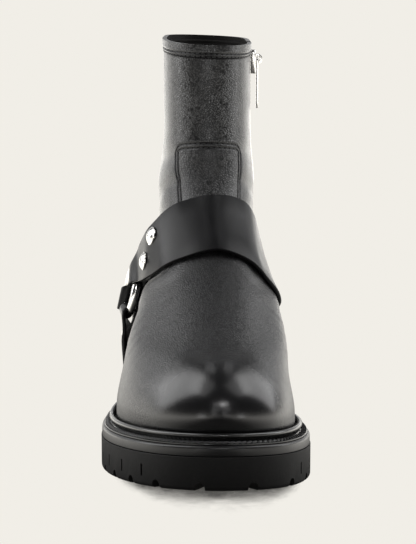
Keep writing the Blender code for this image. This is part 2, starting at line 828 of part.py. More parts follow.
def rivet(name, stations, share, across=0.0):
    place, normal = top_place(stations, share, across)
    turn = normal.to_track_quat("Z", "Y")
    loops = []
    for radius, rise in RIVET_RINGS:
        loop = []
        for i in range(RIVET_STEPS):
            angle = 2 * pi * i / RIVET_STEPS
            flat = Vector((radius * cos(angle), radius * sin(angle), rise)) * MM
            loop.append(place + normal * RIVET_LIFT + turn @ flat)
        loops.append(loop)
    finish(loft(name, loops), NICKEL, 0.22, 1.0)


rivet("rivet_instep_low", instep_stations, 0.12, 0.25)
rivet("rivet_instep_high", instep_stations, 0.17, -0.5)
rivet("rivet_side", side_stations, 0.34)
rivet("rivet_heel_front", heel_stations, 0.085)
rivet("rivet_heel_back", heel_stations, 0.165)


# Zip: a slot in the medial side closed by a toothed chain, with a slider near the collar

ZIP_Y = 74 * MM
ZIP_FOOT = 82 * MM
ZIP_TOP = 217.5 * MM
ZIP_STEPS = 16
SLOT_HALF = 4.2 * MM
SLOT_ABOVE = 228 * MM
SLOT_UNDER = -6 * MM
SLOT_OVER = 4 * MM
TAPE_HALF = SLOT_HALF - GAP
TAPE_UNDER = -2 * MM
TAPE_TOP = -0.85 * MM
TEETH_HALF = 2.4 * MM
TEETH_FOOT = -0.75 * MM
TEETH_TOP = 0.5 * MM


def zip_frame(z):
    """Where the zip's middle crosses this height, the way it faces and the way across it."""
    level, angle = find_on_upper(ZIP_Y, z, MEDIAL)
    higher = find_on_upper(ZIP_Y, z + MM, MEDIAL)
    place, normal = on_upper(level, angle, 0), outward(level, angle)
    up = (on_upper(*higher, 0) - place).normalized()
    return place, normal, up.cross(normal).normalized()


def mirrored(side):
    """A whole outline from its right half."""
    return [(-wide, rise) for wide, rise in side] + list(reversed(side))


def zip_strip(name, low, high, outline, collection=boot):
    """A strip along the zip's line; its outline gives the way across and the height off the leather."""
    loops = []
    for i in range(ZIP_STEPS + 1):
        place, normal, across = zip_frame(low + (high - low) * i / ZIP_STEPS)
        loops.append([place + across * wide + normal * rise for wide, rise in outline])
    return loft(name, loops, collection=collection)


slot_side = [(SLOT_HALF, SLOT_UNDER), (SLOT_HALF, SLOT_OVER)]
cut(upper, zip_strip("zip_slot", ZIP_FOOT, SLOT_ABOVE, mirrored(slot_side), cutters))
tape_side = [(TAPE_HALF, TAPE_UNDER), (TAPE_HALF, TAPE_TOP)]
teeth_side = [(TEETH_HALF, TEETH_FOOT), (TEETH_HALF, TEETH_TOP)]
zip_chain = zip_strip("zip_chain", ZIP_FOOT + GAP, ZIP_TOP, mirrored(tape_side + teeth_side))
finish(zip_chain, NICKEL, 0.35, 1.0)

SLIDER_Z = 208 * MM
SLIDER_UNDER = 1.2 * MM
SLIDER_EDGE = 1.5 * MM
SLIDER_FACE = 2.5 * MM
PIN_LIFT = 4.2 * MM
PIN_RISE = 1.5 * MM
HOLE_RADIUS = 1.5 * MM
BAIL_RADIUS = 3.0 * MM
BAIL_HALF = 1.1 * MM
BAIL_STEPS = 16
HOLE_STEPS = 12
slider_place, slider_out, slider_across = zip_frame(SLIDER_Z)
slider_frame = Matrix((slider_out, slider_across, Vector((0, 0, 1)))).transposed()


def slider_point(lift, across, rise):
    return slider_place + slider_frame @ Vector((lift, across, rise))


# Half of the slider's outline, and its layers: height off the leather and share of the outline's size
SLIDER_SIDE = [(2.2, 6.8), (3.4, 5.2), (3.4, -1.0), (2.6, -5.6), (1.6, -6.8)]
SLIDER_LAYERS = [(SLIDER_UNDER, 0.92), (SLIDER_EDGE, 1.0), (SLIDER_FACE, 0.88)]
slider_loops = []
for lift, size in SLIDER_LAYERS:
    side = [(wide * size * MM, rise * size * MM) for wide, rise in SLIDER_SIDE]
    slider_loops.append([slider_point(lift, wide, rise) for wide, rise in mirrored(side)])
zip_slider = loft("zip_slider", slider_loops)
finish(zip_slider, NICKEL, 0.25, 1.0)


def bail_disc(radius, half, steps):
    """A round bar along the pull's hinge line."""
    loops = []
    for wide in (-half, half):
        loop = []
        for i in range(steps):
            turn = 2 * pi * (i + 0.5) / steps
            loop.append(slider_point(PIN_LIFT + radius * cos(turn), wide, PIN_RISE + radius * sin(turn)))
        loops.append(loop)
    return loops


cut(zip_slider, loft("bail", bail_disc(BAIL_RADIUS, BAIL_HALF, BAIL_STEPS), collection=cutters), "UNION")
cut(zip_slider, loft("bail_hole", bail_disc(HOLE_RADIUS, 2 * BAIL_HALF, HOLE_STEPS), collection=cutters))

PULL_HALF_THICK = 0.55 * MM
PULL_SIDE = [(1.9, 1.0), (2.7, 0.5), (2.7, -4.6), (1.7, -7.0), (2.9, -24.5), (2.4, -26.8), (1.0, -28.0)]
WINDOW_SIDE = [(1.6, -4.0), (1.6, -0.6)]
WINDOW_HALF_DEEP = 2 * MM


def pull_plate(name, side, half_thick, collection=boot):
    """A flat plate in the plane of the hanging pull, from half of its outline."""
    loops = []
    for lift in (PIN_LIFT - half_thick, PIN_LIFT + half_thick):
        outline = mirrored([(wide * MM, PIN_RISE + rise * MM) for wide, rise in side])
        loops.append([slider_point(lift, wide, rise) for wide, rise in outline])
    return loft(name, loops, collection=collection)


zip_pull = pull_plate("zip_pull", PULL_SIDE, PULL_HALF_THICK)
finish(zip_pull, NICKEL, 0.25, 1.0)
cut(zip_pull, pull_plate("pull_window", WINDOW_SIDE, WINDOW_HALF_DEEP, cutters))


# Origin: on the floor under the middle of the outsole's outline

edge = [outline_point(angle, OUTSOLE_EDGE) for angle in full_outline]
middle_x = (max(point.x for point in edge) + min(point.x for point in edge)) / 2
middle_y = (max(point.y for point in edge) + min(point.y for point in edge)) / 2
for obj in [*boot.objects, *cutters.objects]:
    obj.data.transform(Matrix.Translation((-middle_x, -middle_y, 0)))
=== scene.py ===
"""Dressed harness ankle boot for the right foot, built up in the order in which the boot is made.

Metres, +Z up. The toe points along -Y and +X is the medial side with the zip. Shapes are worked out in the
frame of the last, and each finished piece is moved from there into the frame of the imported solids.
"""

from bisect import bisect_right
from collections import namedtuple
from functools import lru_cache
from math import cos, exp, pi, radians, sin

import bmesh
import bpy
from mathutils import Matrix, Quaternion, Vector
from mathutils.bvhtree import BVHTree


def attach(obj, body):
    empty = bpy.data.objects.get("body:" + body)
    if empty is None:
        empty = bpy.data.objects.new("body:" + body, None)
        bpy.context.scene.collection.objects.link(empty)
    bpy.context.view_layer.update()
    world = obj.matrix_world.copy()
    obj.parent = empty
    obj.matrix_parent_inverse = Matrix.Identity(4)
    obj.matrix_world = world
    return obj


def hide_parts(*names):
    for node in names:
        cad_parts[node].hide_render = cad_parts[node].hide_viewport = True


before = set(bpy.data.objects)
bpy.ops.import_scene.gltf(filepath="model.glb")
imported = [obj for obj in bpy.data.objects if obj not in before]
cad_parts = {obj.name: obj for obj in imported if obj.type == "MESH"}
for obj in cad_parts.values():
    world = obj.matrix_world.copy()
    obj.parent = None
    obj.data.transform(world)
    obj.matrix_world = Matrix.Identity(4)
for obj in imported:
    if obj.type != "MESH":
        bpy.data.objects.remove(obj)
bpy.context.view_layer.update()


# Insole: a board that closes the boot underneath, with a thin dark sock glued on its top.
# It is cut to the outline of the last, the form that every piece of the boot is shaped on, so the last
# is set out here: sections from the feather line at the sole up to the collar, in millimetres.

MM = 0.001
GAP = 0.3 * MM
MEDIAL = 1
LATERAL = -1
SEAT = 25.6 * MM
TOE_BREAK = -34 * MM
TOE_RUN = 99 * MM
TOE_CURVE = 1.15
TOE_SPRING = 13 * MM
HEEL_RISE = 20 * MM
HEEL_RISE_FROM = -8 * MM
HEEL_RISE_TO = 80 * MM
Section = namedtuple(
    "Section", "front_y front_z back_y back_z toe ball waist heel swing lean follow"
)
SECTIONS = [
    Section(-133.0, 38.6, 135.0, 45.6, 33.0, 46.0, 32.0, 29.5, 6.5, 2.6, 1.00),
    Section(-135.0, 50.0, 138.0, 60.0, 33.5, 45.3, 32.0, 30.5, 6.5, 2.8, 1.00),
    Section(-131.0, 61.0, 138.5, 74.0, 30.5, 43.0, 32.0, 30.3, 6.5, 2.2, 0.90),
    Section(-120.0, 71.0, 137.0, 86.0, 25.5, 41.2, 31.3, 29.5, 6.2, 0.6, 0.70),
    Section(-101.0, 79.0, 135.0, 97.0, 21.5, 37.4, 30.3, 28.0, 5.8, -0.6, 0.50),
    Section(-70.0, 92.5, 132.0, 107.0, 19.0, 31.0, 28.5, 26.0, 5.2, -0.2, 0.30),
    Section(-42.0, 105.0, 129.5, 118.0, 17.8, 27.0, 25.8, 23.0, 4.2, 0.2, 0.15),
    Section(-17.0, 119.0, 128.0, 131.0, 17.0, 25.4, 26.2, 21.5, 3.2, 0.5, 0.05),
    Section(2.0, 137.5, 127.5, 146.0, 16.8, 25.8, 26.8, 20.3, 2.0, 0.5, 0.00),
    Section(11.5, 160.0, 128.0, 166.0, 16.8, 24.0, 24.6, 18.7, 1.0, 0.0, 0.00),
    Section(16.0, 188.0, 129.5, 192.0, 17.0, 24.0, 24.0, 18.3, 0.5, 0.0, 0.00),
    Section(19.0, 218.5, 131.0, 220.0, 17.5, 24.2, 24.2, 18.8, 0.5, 0.0, 0.00),
]
COLLAR = len(SECTIONS) - 1
STATIONS = [radians(degrees) for degrees in (0, 35, 70, 105, 145, 180)]
TOE_BLUNT = 1.14
HEEL_BLUNT = 1.12
SWING_FADE = 10
BALL_SKEW = 11 * MM
LEAN_ANGLE = radians(80)
LEAN_SPAN = radians(60)
COLLAR_TILT = 2.6 * MM
TILT_FROM = 9.3
TILT_FADE = 1.3
NUDGE = 0.004
ANGLE_SEARCH_STEPS = 40
LEVEL_SEARCH_STEPS = 30


def smooth_step(start, end, at):
    """0 before start, 1 after end, and an even curve between."""
    u = max(0.0, min(1.0, (at - start) / (end - start)))
    return u * u * (3 - 2 * u)


def toe_lift(y, spring):
    return spring * max(0.0, (TOE_BREAK - y) / TOE_RUN) ** TOE_CURVE


def seat_line(y):
    """Height of the upper's lower edge."""
    return SEAT + toe_lift(y, TOE_SPRING) + HEEL_RISE * smooth_step(HEEL_RISE_FROM, HEEL_RISE_TO, y)


def curve_through(knots, values, at, flat_ends=False):
    """The smooth curve through the values at the knots, carried on straight beyond its ends."""
    end = len(knots) - 1

    def slope(i):
        if 0 < i < end:
            return (values[i + 1] - values[i - 1]) / (knots[i + 1] - knots[i - 1])
        if flat_ends:
            return 0.0
        near = min(i, end - 1)
        return (values[near + 1] - values[near]) / (knots[near + 1] - knots[near])

    if at <= knots[0]:
        return values[0] + slope(0) * (at - knots[0])
    if at >= knots[end]:
        return values[end] + slope(end) * (at - knots[end])
    i = bisect_right(knots, at) - 1
    width = knots[i + 1] - knots[i]
    u = (at - knots[i]) / width
    rise = u * u * (3 - 2 * u)
    leave = u * (1 - u) * (1 - u) * width * slope(i)
    arrive = u * u * (u - 1) * width * slope(i + 1)
    return values[i] + (values[i + 1] - values[i]) * rise + leave + arrive


@lru_cache(maxsize=None)
def section_at(level):
    """The section at a level from 0 at the feather line to COLLAR, in metres."""
    rows = list(range(len(SECTIONS)))
    found = [curve_through(rows, column, level) for column in zip(*SECTIONS)]
    return Section(*(value * MM for value in found[:-1]), found[-1])


@lru_cache(maxsize=None)
def last_point(level, angle):
    """The last at this level and angle: 0 is the front, positive runs round the medial side."""
    angle = (angle + pi) % (2 * pi) - pi
    side = MEDIAL if angle >= 0 else LATERAL
    turn = abs(angle)
    row = section_at(level)
    share = (1 - cos(turn)) / 2
    toe = row.toe / sin(STATIONS[1])
    heel = row.heel / sin(STATIONS[4])
    middle = [row.ball / sin(STATIONS[2]), row.waist / sin(STATIONS[3])]
    full = curve_through(
        STATIONS, [toe * TOE_BLUNT, toe, *middle, heel, heel * HEEL_BLUNT], turn, flat_ends=True
    )
    x = side * full * sin(turn) + row.swing * cos(turn / 2) ** SWING_FADE
    x -= row.lean * (1 - smooth_step(0, LEAN_SPAN, abs(turn - LEAN_ANGLE)))
    y = row.front_y + (row.back_y - row.front_y) * share
    y -= side * BALL_SKEW * row.follow * sin(turn) ** 2
    front_rise = row.front_z - seat_line(row.front_y)
    back_rise = row.back_z - seat_line(row.back_y)
    level_z = row.front_z + (row.back_z - row.front_z) * share
    bent_z = seat_line(y) + front_rise + (back_rise - front_rise) * share
    tilt = COLLAR_TILT * ((1 - sin(angle)) / 2) ** TILT_FADE * smooth_step(TILT_FROM, COLLAR, level)
    return Vector((x, y, level_z + (bent_z - level_z) * row.follow + tilt))


@lru_cache(maxsize=None)
def outward(level, angle):
    round_it = last_point(level, angle + NUDGE) - last_point(level, angle - NUDGE)
    up_it = last_point(level + NUDGE, angle) - last_point(level - NUDGE, angle)
    return round_it.cross(up_it).normalized()


def on_upper(level, angle, lift):
    """A point this far out from the upper's outer face."""
    return last_point(level, angle) + outward(level, angle) * lift


def angle_at(level, y, side):
    """The angle at which a section passes this y on one side."""
    low, high = 0.0, pi
    for _ in range(ANGLE_SEARCH_STEPS):
        middle = (low + high) / 2
        if last_point(level, side * middle).y < y:
            low = middle
        else:
            high = middle
    return side * low


def find_on_upper(y, z, side):
    """The level and angle of the point with this y and z on one side."""
    low, high = 0.0, COLLAR + 1.0
    for _ in range(LEVEL_SEARCH_STEPS):
        level = (low + high) / 2
        if last_point(level, angle_at(level, y, side)).z < z:
            low = level
        else:
            high = level
    return low, angle_at(low, y, side)


EDGE_NARROWING = 0.2
NARROWING_FROM = -20 * MM
NARROWING_TO = 50 * MM
OUTLINE_HALF = 120


@lru_cache(maxsize=None)
def outline_point(angle, spread):
    """The feather line moved out over the floor; an outer edge is narrower behind the ball."""
    along = last_point(0, angle + NUDGE) - last_point(0, angle - NUDGE)
    out = Vector((along.y, -along.x, 0)).normalized()
    point = last_point(0, angle)
    if spread > 0:
        spread *= 1 - EDGE_NARROWING * smooth_step(NARROWING_FROM, NARROWING_TO, point.y)
    return point + out * spread


def across_from(angle):
    """The lateral angle straight across the sole from a medial one."""
    return angle_at(0, last_point(0, angle).y, LATERAL)


medial_half = [pi * (i + 0.5) / OUTLINE_HALF for i in range(OUTLINE_HALF)]
outline = [across_from(angle) for angle in reversed(medial_half)] + medial_half


def sheet(columns, rows, place, seam_shade_at=None):
    """A grid laid on a form: place turns the shares of its width and height into a point.

    The last argument gives how near each place lies to a seam, from 0 to 1, for painted shade: the
    material's sheen drops there.
    """
    mesh = bmesh.new()
    mesh.loops.layers.uv.new("UVMap")
    seam = mesh.verts.layers.float.new("seam")
    bmesh.ops.create_grid(mesh, x_segments=columns, y_segments=rows, size=0.5, calc_uvs=True)
    for vert in mesh.verts:
        u, v = vert.co.x + 0.5, vert.co.y + 0.5
        vert.co = place(u, v)
        if seam_shade_at:
            vert[seam] = seam_shade_at(u, v)
    return mesh


WELD = 0.001 * MM


def weld(mesh):
    bmesh.ops.remove_doubles(mesh, verts=mesh.verts, dist=WELD)
    bmesh.ops.recalc_face_normals(mesh, faces=mesh.faces)


def close_ends(mesh):
    """Welds a form along its seam and closes its open ends."""
    bmesh.ops.remove_doubles(mesh, verts=mesh.verts, dist=WELD)
    bmesh.ops.holes_fill(mesh, edges=[edge for edge in mesh.edges if edge.is_boundary])
    bmesh.ops.recalc_face_normals(mesh, faces=mesh.faces)


def join_into(whole, mesh):
    """Adds a copy of one mesh to another."""
    data = bpy.data.meshes.new("joined")
    mesh.to_mesh(data)
    whole.from_mesh(data)
    bpy.data.meshes.remove(data)


def spin_round(mesh, outline_parts, centre, axis, steps):
    """Turns an outline once round an axis into a closed form."""
    bmesh.ops.spin(
        mesh, geom=outline_parts, cent=centre, axis=axis, angle=2 * pi, steps=steps, use_merge=True
    )


def sole_plate(rows, angles):
    """A closed plate over part of the sole's outline, from the middle of its top to that of its underside.

    A row gives how far it lies out from the feather line, its share of the way in to the middle line, and
    its height at a given y. The angles pair up across the sole, the first with the last.
    """

    def place(u, v):
        column = round(u * len(angles)) % len(angles)
        spread, inward, height = rows[round(v * (len(rows) - 1))]
        edge = outline_point(angles[column], spread)
        facing = outline_point(angles[-1 - column], spread)
        point = edge.lerp((edge + facing) / 2, inward)
        return Vector((point.x, point.y, height(point.y)))

    mesh = sheet(len(angles), len(rows) - 1, place)
    weld(mesh)
    return mesh


def below_seat(drop):
    return lambda y: seat_line(y) - drop


def flat_rows(spread, height):
    """Rows over a plate's flat side, from its middle line half-way out to its edge."""
    return [(spread, 1.0, height), (spread, 0.5, height)]


SHARP = radians(38)
OUTSOLE_EDGE = 8.3 * MM
sole_edge = [outline_point(angle, OUTSOLE_EDGE) for angle in outline]
sole_middle = [(min(column) + max(column)) / 2 for column in zip(*sole_edge)]
TO_FRAME = Vector((-sole_middle[0], -sole_middle[1], 0))


def piece(name, mesh, *materials, body="boot"):
    """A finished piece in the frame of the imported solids, riding on its body."""
    bmesh.ops.translate(mesh, verts=mesh.verts, vec=TO_FRAME)
    data = bpy.data.meshes.new(name)
    mesh.to_mesh(data)
    mesh.free()
    data.shade_smooth()
    data.set_sharp_from_angle(angle=SHARP)
    for material in materials:
        data.materials.append(material)
    obj = bpy.data.objects.new(name, data)
    bpy.context.scene.collection.objects.link(obj)
    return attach(obj, body)


def settle(obj):
    """The result of the piece's modifiers becomes its own mesh."""
    graph = bpy.context.evaluated_depsgraph_get()
    obj.data = bpy.data.meshes.new_from_object(obj.evaluated_get(graph))
    obj.modifiers.clear()
    obj.data.shade_smooth()
    obj.data.set_sharp_from_angle(angle=SHARP)


def add_node(tree, kind, links=None, **settings):
    """A shader node with its settings, its input values and the sockets that feed it."""
    node = tree.nodes.new(kind)
    for name, value in settings.items():
        setattr(node, name, value)
    for socket, source in (links or {}).items():
        if isinstance(source, bpy.types.NodeSocket):
            tree.links.new(source, node.inputs[socket])
        else:
            node.inputs[socket].default_value = source
    return node


def work_out(tree, operation, *values):
    """The result of a sum over values and sockets."""
    return add_node(tree, "ShaderNodeMath", dict(enumerate(values)), operation=operation).outputs["Value"]


def eased(tree, source, start, end, low=0.0, high=1.0):
    """A value that goes evenly from low, where the source is at the start, to high at the end."""
    reach = {"Value": source, "From Min": start, "From Max": end, "To Min": low, "To Max": high}
    return add_node(tree, "ShaderNodeMapRange", reach, interpolation_type="SMOOTHSTEP").outputs["Result"]


def noise(tree, place, scale, detail):
    return add_node(tree, "ShaderNodeTexNoise", {"Vector": place, "Scale": scale, "Detail": detail})


def places(tree, kind):
    return add_node(tree, "ShaderNodeTexCoord").outputs[kind]


def surface(name, colour, metallic=0.0):
    """A Principled material; its tree and its shader."""
    material = bpy.data.materials.new(name)
    material.use_nodes = True
    shader = material.node_tree.nodes["Principled BSDF"]
    shader.inputs["Base Color"].default_value = (*colour, 1)
    shader.inputs["Metallic"].default_value = metallic
    return material, material.node_tree, shader


def new_group(name, inputs, outputs):
    """A shader node group with float inputs and outputs, and its two end nodes."""
    tree = bpy.data.node_groups.new(name, "ShaderNodeTree")
    for label in inputs:
        tree.interface.new_socket(label, in_out="INPUT", socket_type="NodeSocketFloat")
    for label in outputs:
        tree.interface.new_socket(label, in_out="OUTPUT", socket_type="NodeSocketFloat")
    return tree, tree.nodes.new("NodeGroupInput"), tree.nodes.new("NodeGroupOutput")


def use_group(tree, group, **values):
    node = tree.nodes.new("ShaderNodeGroup")
    node.node_tree = group
    for label, value in values.items():
        node.inputs[label].default_value = value
    return node


def ramp(tree, source, low, high):
    """A value of 0 to 1 spread between a low and a high value."""
    node = add_node(tree, "ShaderNodeMapRange", {"Value": source, "To Min": low, "To Max": high})
    return node.outputs["Result"]


def roughen(tree, shader, height, depth):
    """Surface relief of this depth from a height of 0 to 1."""
    bump = add_node(tree, "ShaderNodeBump", {"Height": height, "Distance": depth, "Strength": 1.0})
    tree.links.new(bump.outputs["Normal"], shader.inputs["Normal"])


SPECKLE_DETAIL = 4.0
CLOUD_SCALE = 90.0
CLOUD_DETAIL = 2.0
speckle_group, group_in, group_out = new_group("speckle", ["Scale"], ["Fine", "Broad"])
coordinates = places(speckle_group, "Object")
fine = noise(speckle_group, coordinates, group_in.outputs["Scale"], SPECKLE_DETAIL)
broad = noise(speckle_group, coordinates, CLOUD_SCALE, CLOUD_DETAIL)
speckle_group.links.new(fine.outputs["Fac"], group_out.inputs["Fine"])
speckle_group.links.new(broad.outputs["Fac"], group_out.inputs["Broad"])


def speckled(name, colour, rough, speckle, depth, specular=0.5, metallic=0.0):
    """A material with a fine uneven skin, and a gloss that varies over larger patches."""
    material, tree, shader = surface(name, colour, metallic)
    shader.inputs["Specular IOR Level"].default_value = specular
    skin = use_group(tree, speckle_group, Scale=speckle)
    tree.links.new(ramp(tree, skin.outputs["Broad"], *rough), shader.inputs["Roughness"])
    roughen(tree, shader, skin.outputs["Fine"], depth)
    return material


INSOLE_IN = -3.2 * MM
INSOLE_LIFT = 0.8 * MM
INSOLE_THICK = 3 * MM
INSOLE_ROUND = 0.6 * MM
SOCK_COLOUR = (0.012, 0.011, 0.010)
insole_top = -INSOLE_LIFT - INSOLE_THICK
insole_rows = flat_rows(INSOLE_IN, below_seat(insole_top)) + [
    (INSOLE_IN - INSOLE_ROUND, 0.0, below_seat(insole_top)),
    (INSOLE_IN, 0.0, below_seat(INSOLE_ROUND + insole_top)),
    (INSOLE_IN, 0.0, below_seat(-INSOLE_LIFT)),
]
insole_rows += reversed(flat_rows(INSOLE_IN, below_seat(-INSOLE_LIFT)))
sock = speckled("insole_sock", SOCK_COLOUR, rough=(0.7, 0.9), speckle=1400.0, depth=0.15 * MM)
insole = piece("insole_sock", sole_plate(insole_rows, outline), sock)
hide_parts("insole")


# Upper: shaft and quarters of black grained leather, lined inside, lasted down over the insole.
# The sheet is wrapped round the last from one edge of the zip to the other, and its top is folded
# over into a collar band that two rows of stitches hold.

WALL = 2.4 * MM
BAND_STEP = 0.6 * MM
BAND_EDGE = 7.0 * MM
BAND_STITCHES = [4.8 * MM, 6.4 * MM]
BAND_TURN = 0.3 * MM
COLLAR_RISE = 30.5 * MM
UPPER_COLUMNS = 240
BODY_ROWS = 118
BAND_ROWS = 40
BODY_TOP = COLLAR - 11 * MM / COLLAR_RISE
ZIP_Y = 74 * MM
ZIP_FOOT = 82 * MM
ZIP_TOP = 217.5 * MM
SLOT_HALF = 4.2 * MM
SLOT_POINT = 9 * MM
STITCH_DIP = 0.6 * MM
STITCH_DIP_HALF = 0.55 * MM
UNDER_VAMP = 1.6 * MM
TUCK_FROM = 8 * MM
TUCK_TO = 16 * MM

# The vamp's edge: how far round from the ridge line it lies at each level, the same on both sides.
Seam = namedtuple("Seam", "level degrees")
VAMP_SEAM = [
    Seam(0.0, 107),
    Seam(1.5, 104),
    Seam(3.0, 96),
    Seam(4.0, 85),
    Seam(4.9, 69),
    Seam(5.5, 53),
    Seam(6.1, 42),
    Seam(6.75, 36.5),
    Seam(7.9, 35),
    Seam(8.6, 37.5),
    Seam(9.3, 38),
]
VAMP_TOP = 9.32


@lru_cache(maxsize=None)
def vamp_edge(level):
    levels = [row.level for row in VAMP_SEAM]
    return radians(curve_through(levels, [row.degrees for row in VAMP_SEAM], level))


@lru_cache(maxsize=None)
def per_radian(level, angle):
    """How many metres round the upper one radian spans here."""
    return (last_point(level, angle + NUDGE) - last_point(level, angle - NUDGE)).length / (2 * NUDGE)


@lru_cache(maxsize=None)
def per_level(level, angle):
    """How many metres up the upper one level spans here."""
    return (last_point(level + NUDGE, angle) - last_point(level - NUDGE, angle)).length / (2 * NUDGE)


def stitch_dip(distance, rows):
    """How deep the thread pulls the leather in, this far from an edge that rows of stitches follow."""
    return STITCH_DIP * sum(exp(-(((distance - row) / STITCH_DIP_HALF) ** 2)) for row in rows)


@lru_cache(maxsize=None)
def zip_angle(level):
    return angle_at(level, ZIP_Y, MEDIAL)


@lru_cache(maxsize=None)
def slot_half(level):
    """Half the opening between the upper's edges at the zip; it closes to a point at the zip's foot."""
    rise = last_point(level, zip_angle(level)).z - ZIP_FOOT
    return SLOT_HALF * max(0.0, min(1.0, rise / SLOT_POINT)) ** 0.5


def upper_row(v):
    """The level and the lift of a row, and how far it lies under the rim."""
    row = round(v * (BODY_ROWS + BAND_ROWS))
    if row <= BODY_ROWS:
        level = BODY_TOP * row / BODY_ROWS
        return level, 0.0, (COLLAR - level) * COLLAR_RISE
    level = BODY_TOP + (COLLAR - BODY_TOP) * (row - BODY_ROWS) / BAND_ROWS
    under = (COLLAR - level) * COLLAR_RISE
    lift = BAND_STEP * (1 - smooth_step(BAND_EDGE - BAND_TURN, BAND_EDGE + BAND_TURN, under))
    return level, lift - stitch_dip(under, BAND_STITCHES), under


ZIP_STITCH = 2.6 * MM
EDGE_COLUMNS = 14
EDGE_WIDE = 6 * MM


def upper_angle(u, level):
    """The angle of a column, close-set beside the zip, and its distance from the nearer zip edge."""
    column = round(u * UPPER_COLUMNS)
    scale = per_radian(level, zip_angle(level))
    start = zip_angle(level) + slot_half(level) / scale
    span = 2 * pi - 2 * slot_half(level) / scale
    edge = EDGE_WIDE / scale
    near = min(column, UPPER_COLUMNS - column)
    if near <= EDGE_COLUMNS:
        turn = edge * near / EDGE_COLUMNS
    else:
        middle = UPPER_COLUMNS / 2 - EDGE_COLUMNS
        turn = edge + (span / 2 - edge) * (near - EDGE_COLUMNS) / middle
    angle = start + turn if column == near else start + span - turn
    return angle, turn * scale


def under_vamp(level, angle):
    """How far the sheet lies back under the vamp, clear of the vamp's own edge."""
    turn = abs((angle + pi) % (2 * pi) - pi)
    inside = (vamp_edge(min(level, VAMP_TOP)) - turn) * per_radian(level, turn)
    below = (VAMP_TOP - level) * per_level(level, 0.0)
    return UNDER_VAMP * smooth_step(TUCK_FROM, TUCK_TO, min(inside, below))


def upper_place(u, v):
    level, lift, under = upper_row(v)
    angle, from_zip = upper_angle(u, level)
    if slot_half(level) > 0 and under > BAND_EDGE:
        lift -= stitch_dip(from_zip, [ZIP_STITCH])
    return on_upper(level, angle, lift - under_vamp(level, angle))


# Painted shade along the collar band's edge, its stitch rows and the zip's stitches: how near a place lies
# to them.
def upper_seam_shade(u, v):
    level, _, under = upper_row(v)
    _, from_zip = upper_angle(u, level)
    dip = stitch_dip(under, [*BAND_STITCHES, BAND_EDGE])
    if slot_half(level) > 0 and under > BAND_EDGE:
        dip += stitch_dip(from_zip, [ZIP_STITCH])
    return min(1.0, dip / STITCH_DIP)


# The main creases, in millimetres: where each starts and ends on its side of the boot, the half-width of
# its trough, and its depth. The leather rises a little along both sides of a trough.
Crease = namedtuple("Crease", "side y_from z_from y_to z_to half depth")
CREASES = [
    Crease(LATERAL, -66, 84, -46, 58, 2.0, 0.20),
    Crease(LATERAL, -56, 88, -36, 58, 2.2, 0.24),
    Crease(LATERAL, -74, 76, -60, 54, 1.9, 0.16),
    Crease(LATERAL, -44, 92, -24, 62, 2.2, 0.22),
    Crease(LATERAL, -34, 88, -16, 62, 2.2, 0.18),
    Crease(MEDIAL, -62, 84, -44, 62, 2.0, 0.14),
    Crease(MEDIAL, -48, 90, -30, 64, 2.2, 0.18),
    Crease(MEDIAL, -34, 88, -16, 62, 2.2, 0.16),
    Crease(LATERAL, 14, 146, 52, 132, 4.0, 0.70),
    Crease(LATERAL, 24, 160, 66, 150, 4.2, 0.55),
    Crease(LATERAL, 112, 126, 70, 118, 4.0, 0.60),
    Crease(LATERAL, 118, 142, 80, 136, 4.0, 0.50),
    Crease(MEDIAL, 16, 146, 50, 134, 4.0, 0.65),
    Crease(MEDIAL, 24, 162, 60, 154, 4.2, 0.50),
    Crease(MEDIAL, 116, 128, 84, 120, 4.0, 0.55),
    Crease(MEDIAL, 120, 144, 88, 138, 4.0, 0.45),
]
RIDGE_AT = 1.7
RIDGE_SHARE = 0.45
CREASE_TAPER = 0.35
CREASE_REACH = 4.0


def press_creases(mesh):
    """Presses the creases into a sheet of leather along its normals."""
    mesh.normal_update()
    for row in CREASES:
        ends = []
        for y, z in ((row.y_from, row.z_from), (row.y_to, row.z_to)):
            ends.append(on_upper(*find_on_upper(y * MM, z * MM, row.side), 0))
        along = ends[1] - ends[0]
        half = row.half * MM
        reach = along.length / 2 + CREASE_REACH * half
        middle = (ends[0] + ends[1]) / 2
        moves = []
        for vert in mesh.verts:
            offset = vert.co - middle
            if offset.length_squared > reach * reach:
                continue
            share = offset.dot(along) / along.length_squared
            side_step = offset - along * share
            across = (side_step - vert.normal * side_step.dot(vert.normal)).length / half
            taper = 1 - smooth_step(CREASE_TAPER, 0.5 + CREASE_TAPER / 2, abs(share))
            profile = RIDGE_SHARE * exp(-((across - RIDGE_AT) ** 2)) - exp(-(across**2))
            moves.append((vert, vert.normal * row.depth * MM * profile * taper))
        for vert, move in moves:
            vert.co += move


PEBBLE = 820.0
PEBBLE_ROUND = 0.32
PEBBLE_UNEVEN = 0.95
DRIFT_SCALE = 260.0
DRIFT = Vector((0.0022, 0.0022, 0.0022))
WRINKLE = (620.0, 200.0, 280.0)
WRINKLE_TURN = (0.5, 0.3, 0.0)
WRINKLE_DETAIL = 3.0
PATCH_SCALE = 55.0
PATCH_DETAIL = 2.0
TOE_SMOOTH = -0.130
TOE_GRAINED = -0.086
TOE_GRAIN = 0.10
TOE_GLOSS = 0.5
HOLLOW_UP_TO = 0.10
TOP_FROM = 0.80
leather_group, group_in, group_out = new_group(
    "leather_grain", ["Pebble"], ["Grain", "Gloss", "Calm", "Tone"]
)
coordinates = places(leather_group, "Object")
drift = noise(leather_group, coordinates, DRIFT_SCALE, PATCH_DETAIL)
drifted = add_node(
    leather_group,
    "ShaderNodeVectorMath",
    {0: drift.outputs["Color"], 1: DRIFT, 2: coordinates},
    operation="MULTIPLY_ADD",
)
pebbles = add_node(
    leather_group,
    "ShaderNodeTexVoronoi",
    {
        "Vector": drifted.outputs["Vector"],
        "Scale": group_in.outputs["Pebble"],
        "Randomness": PEBBLE_UNEVEN,
    },
    feature="DISTANCE_TO_EDGE",
)
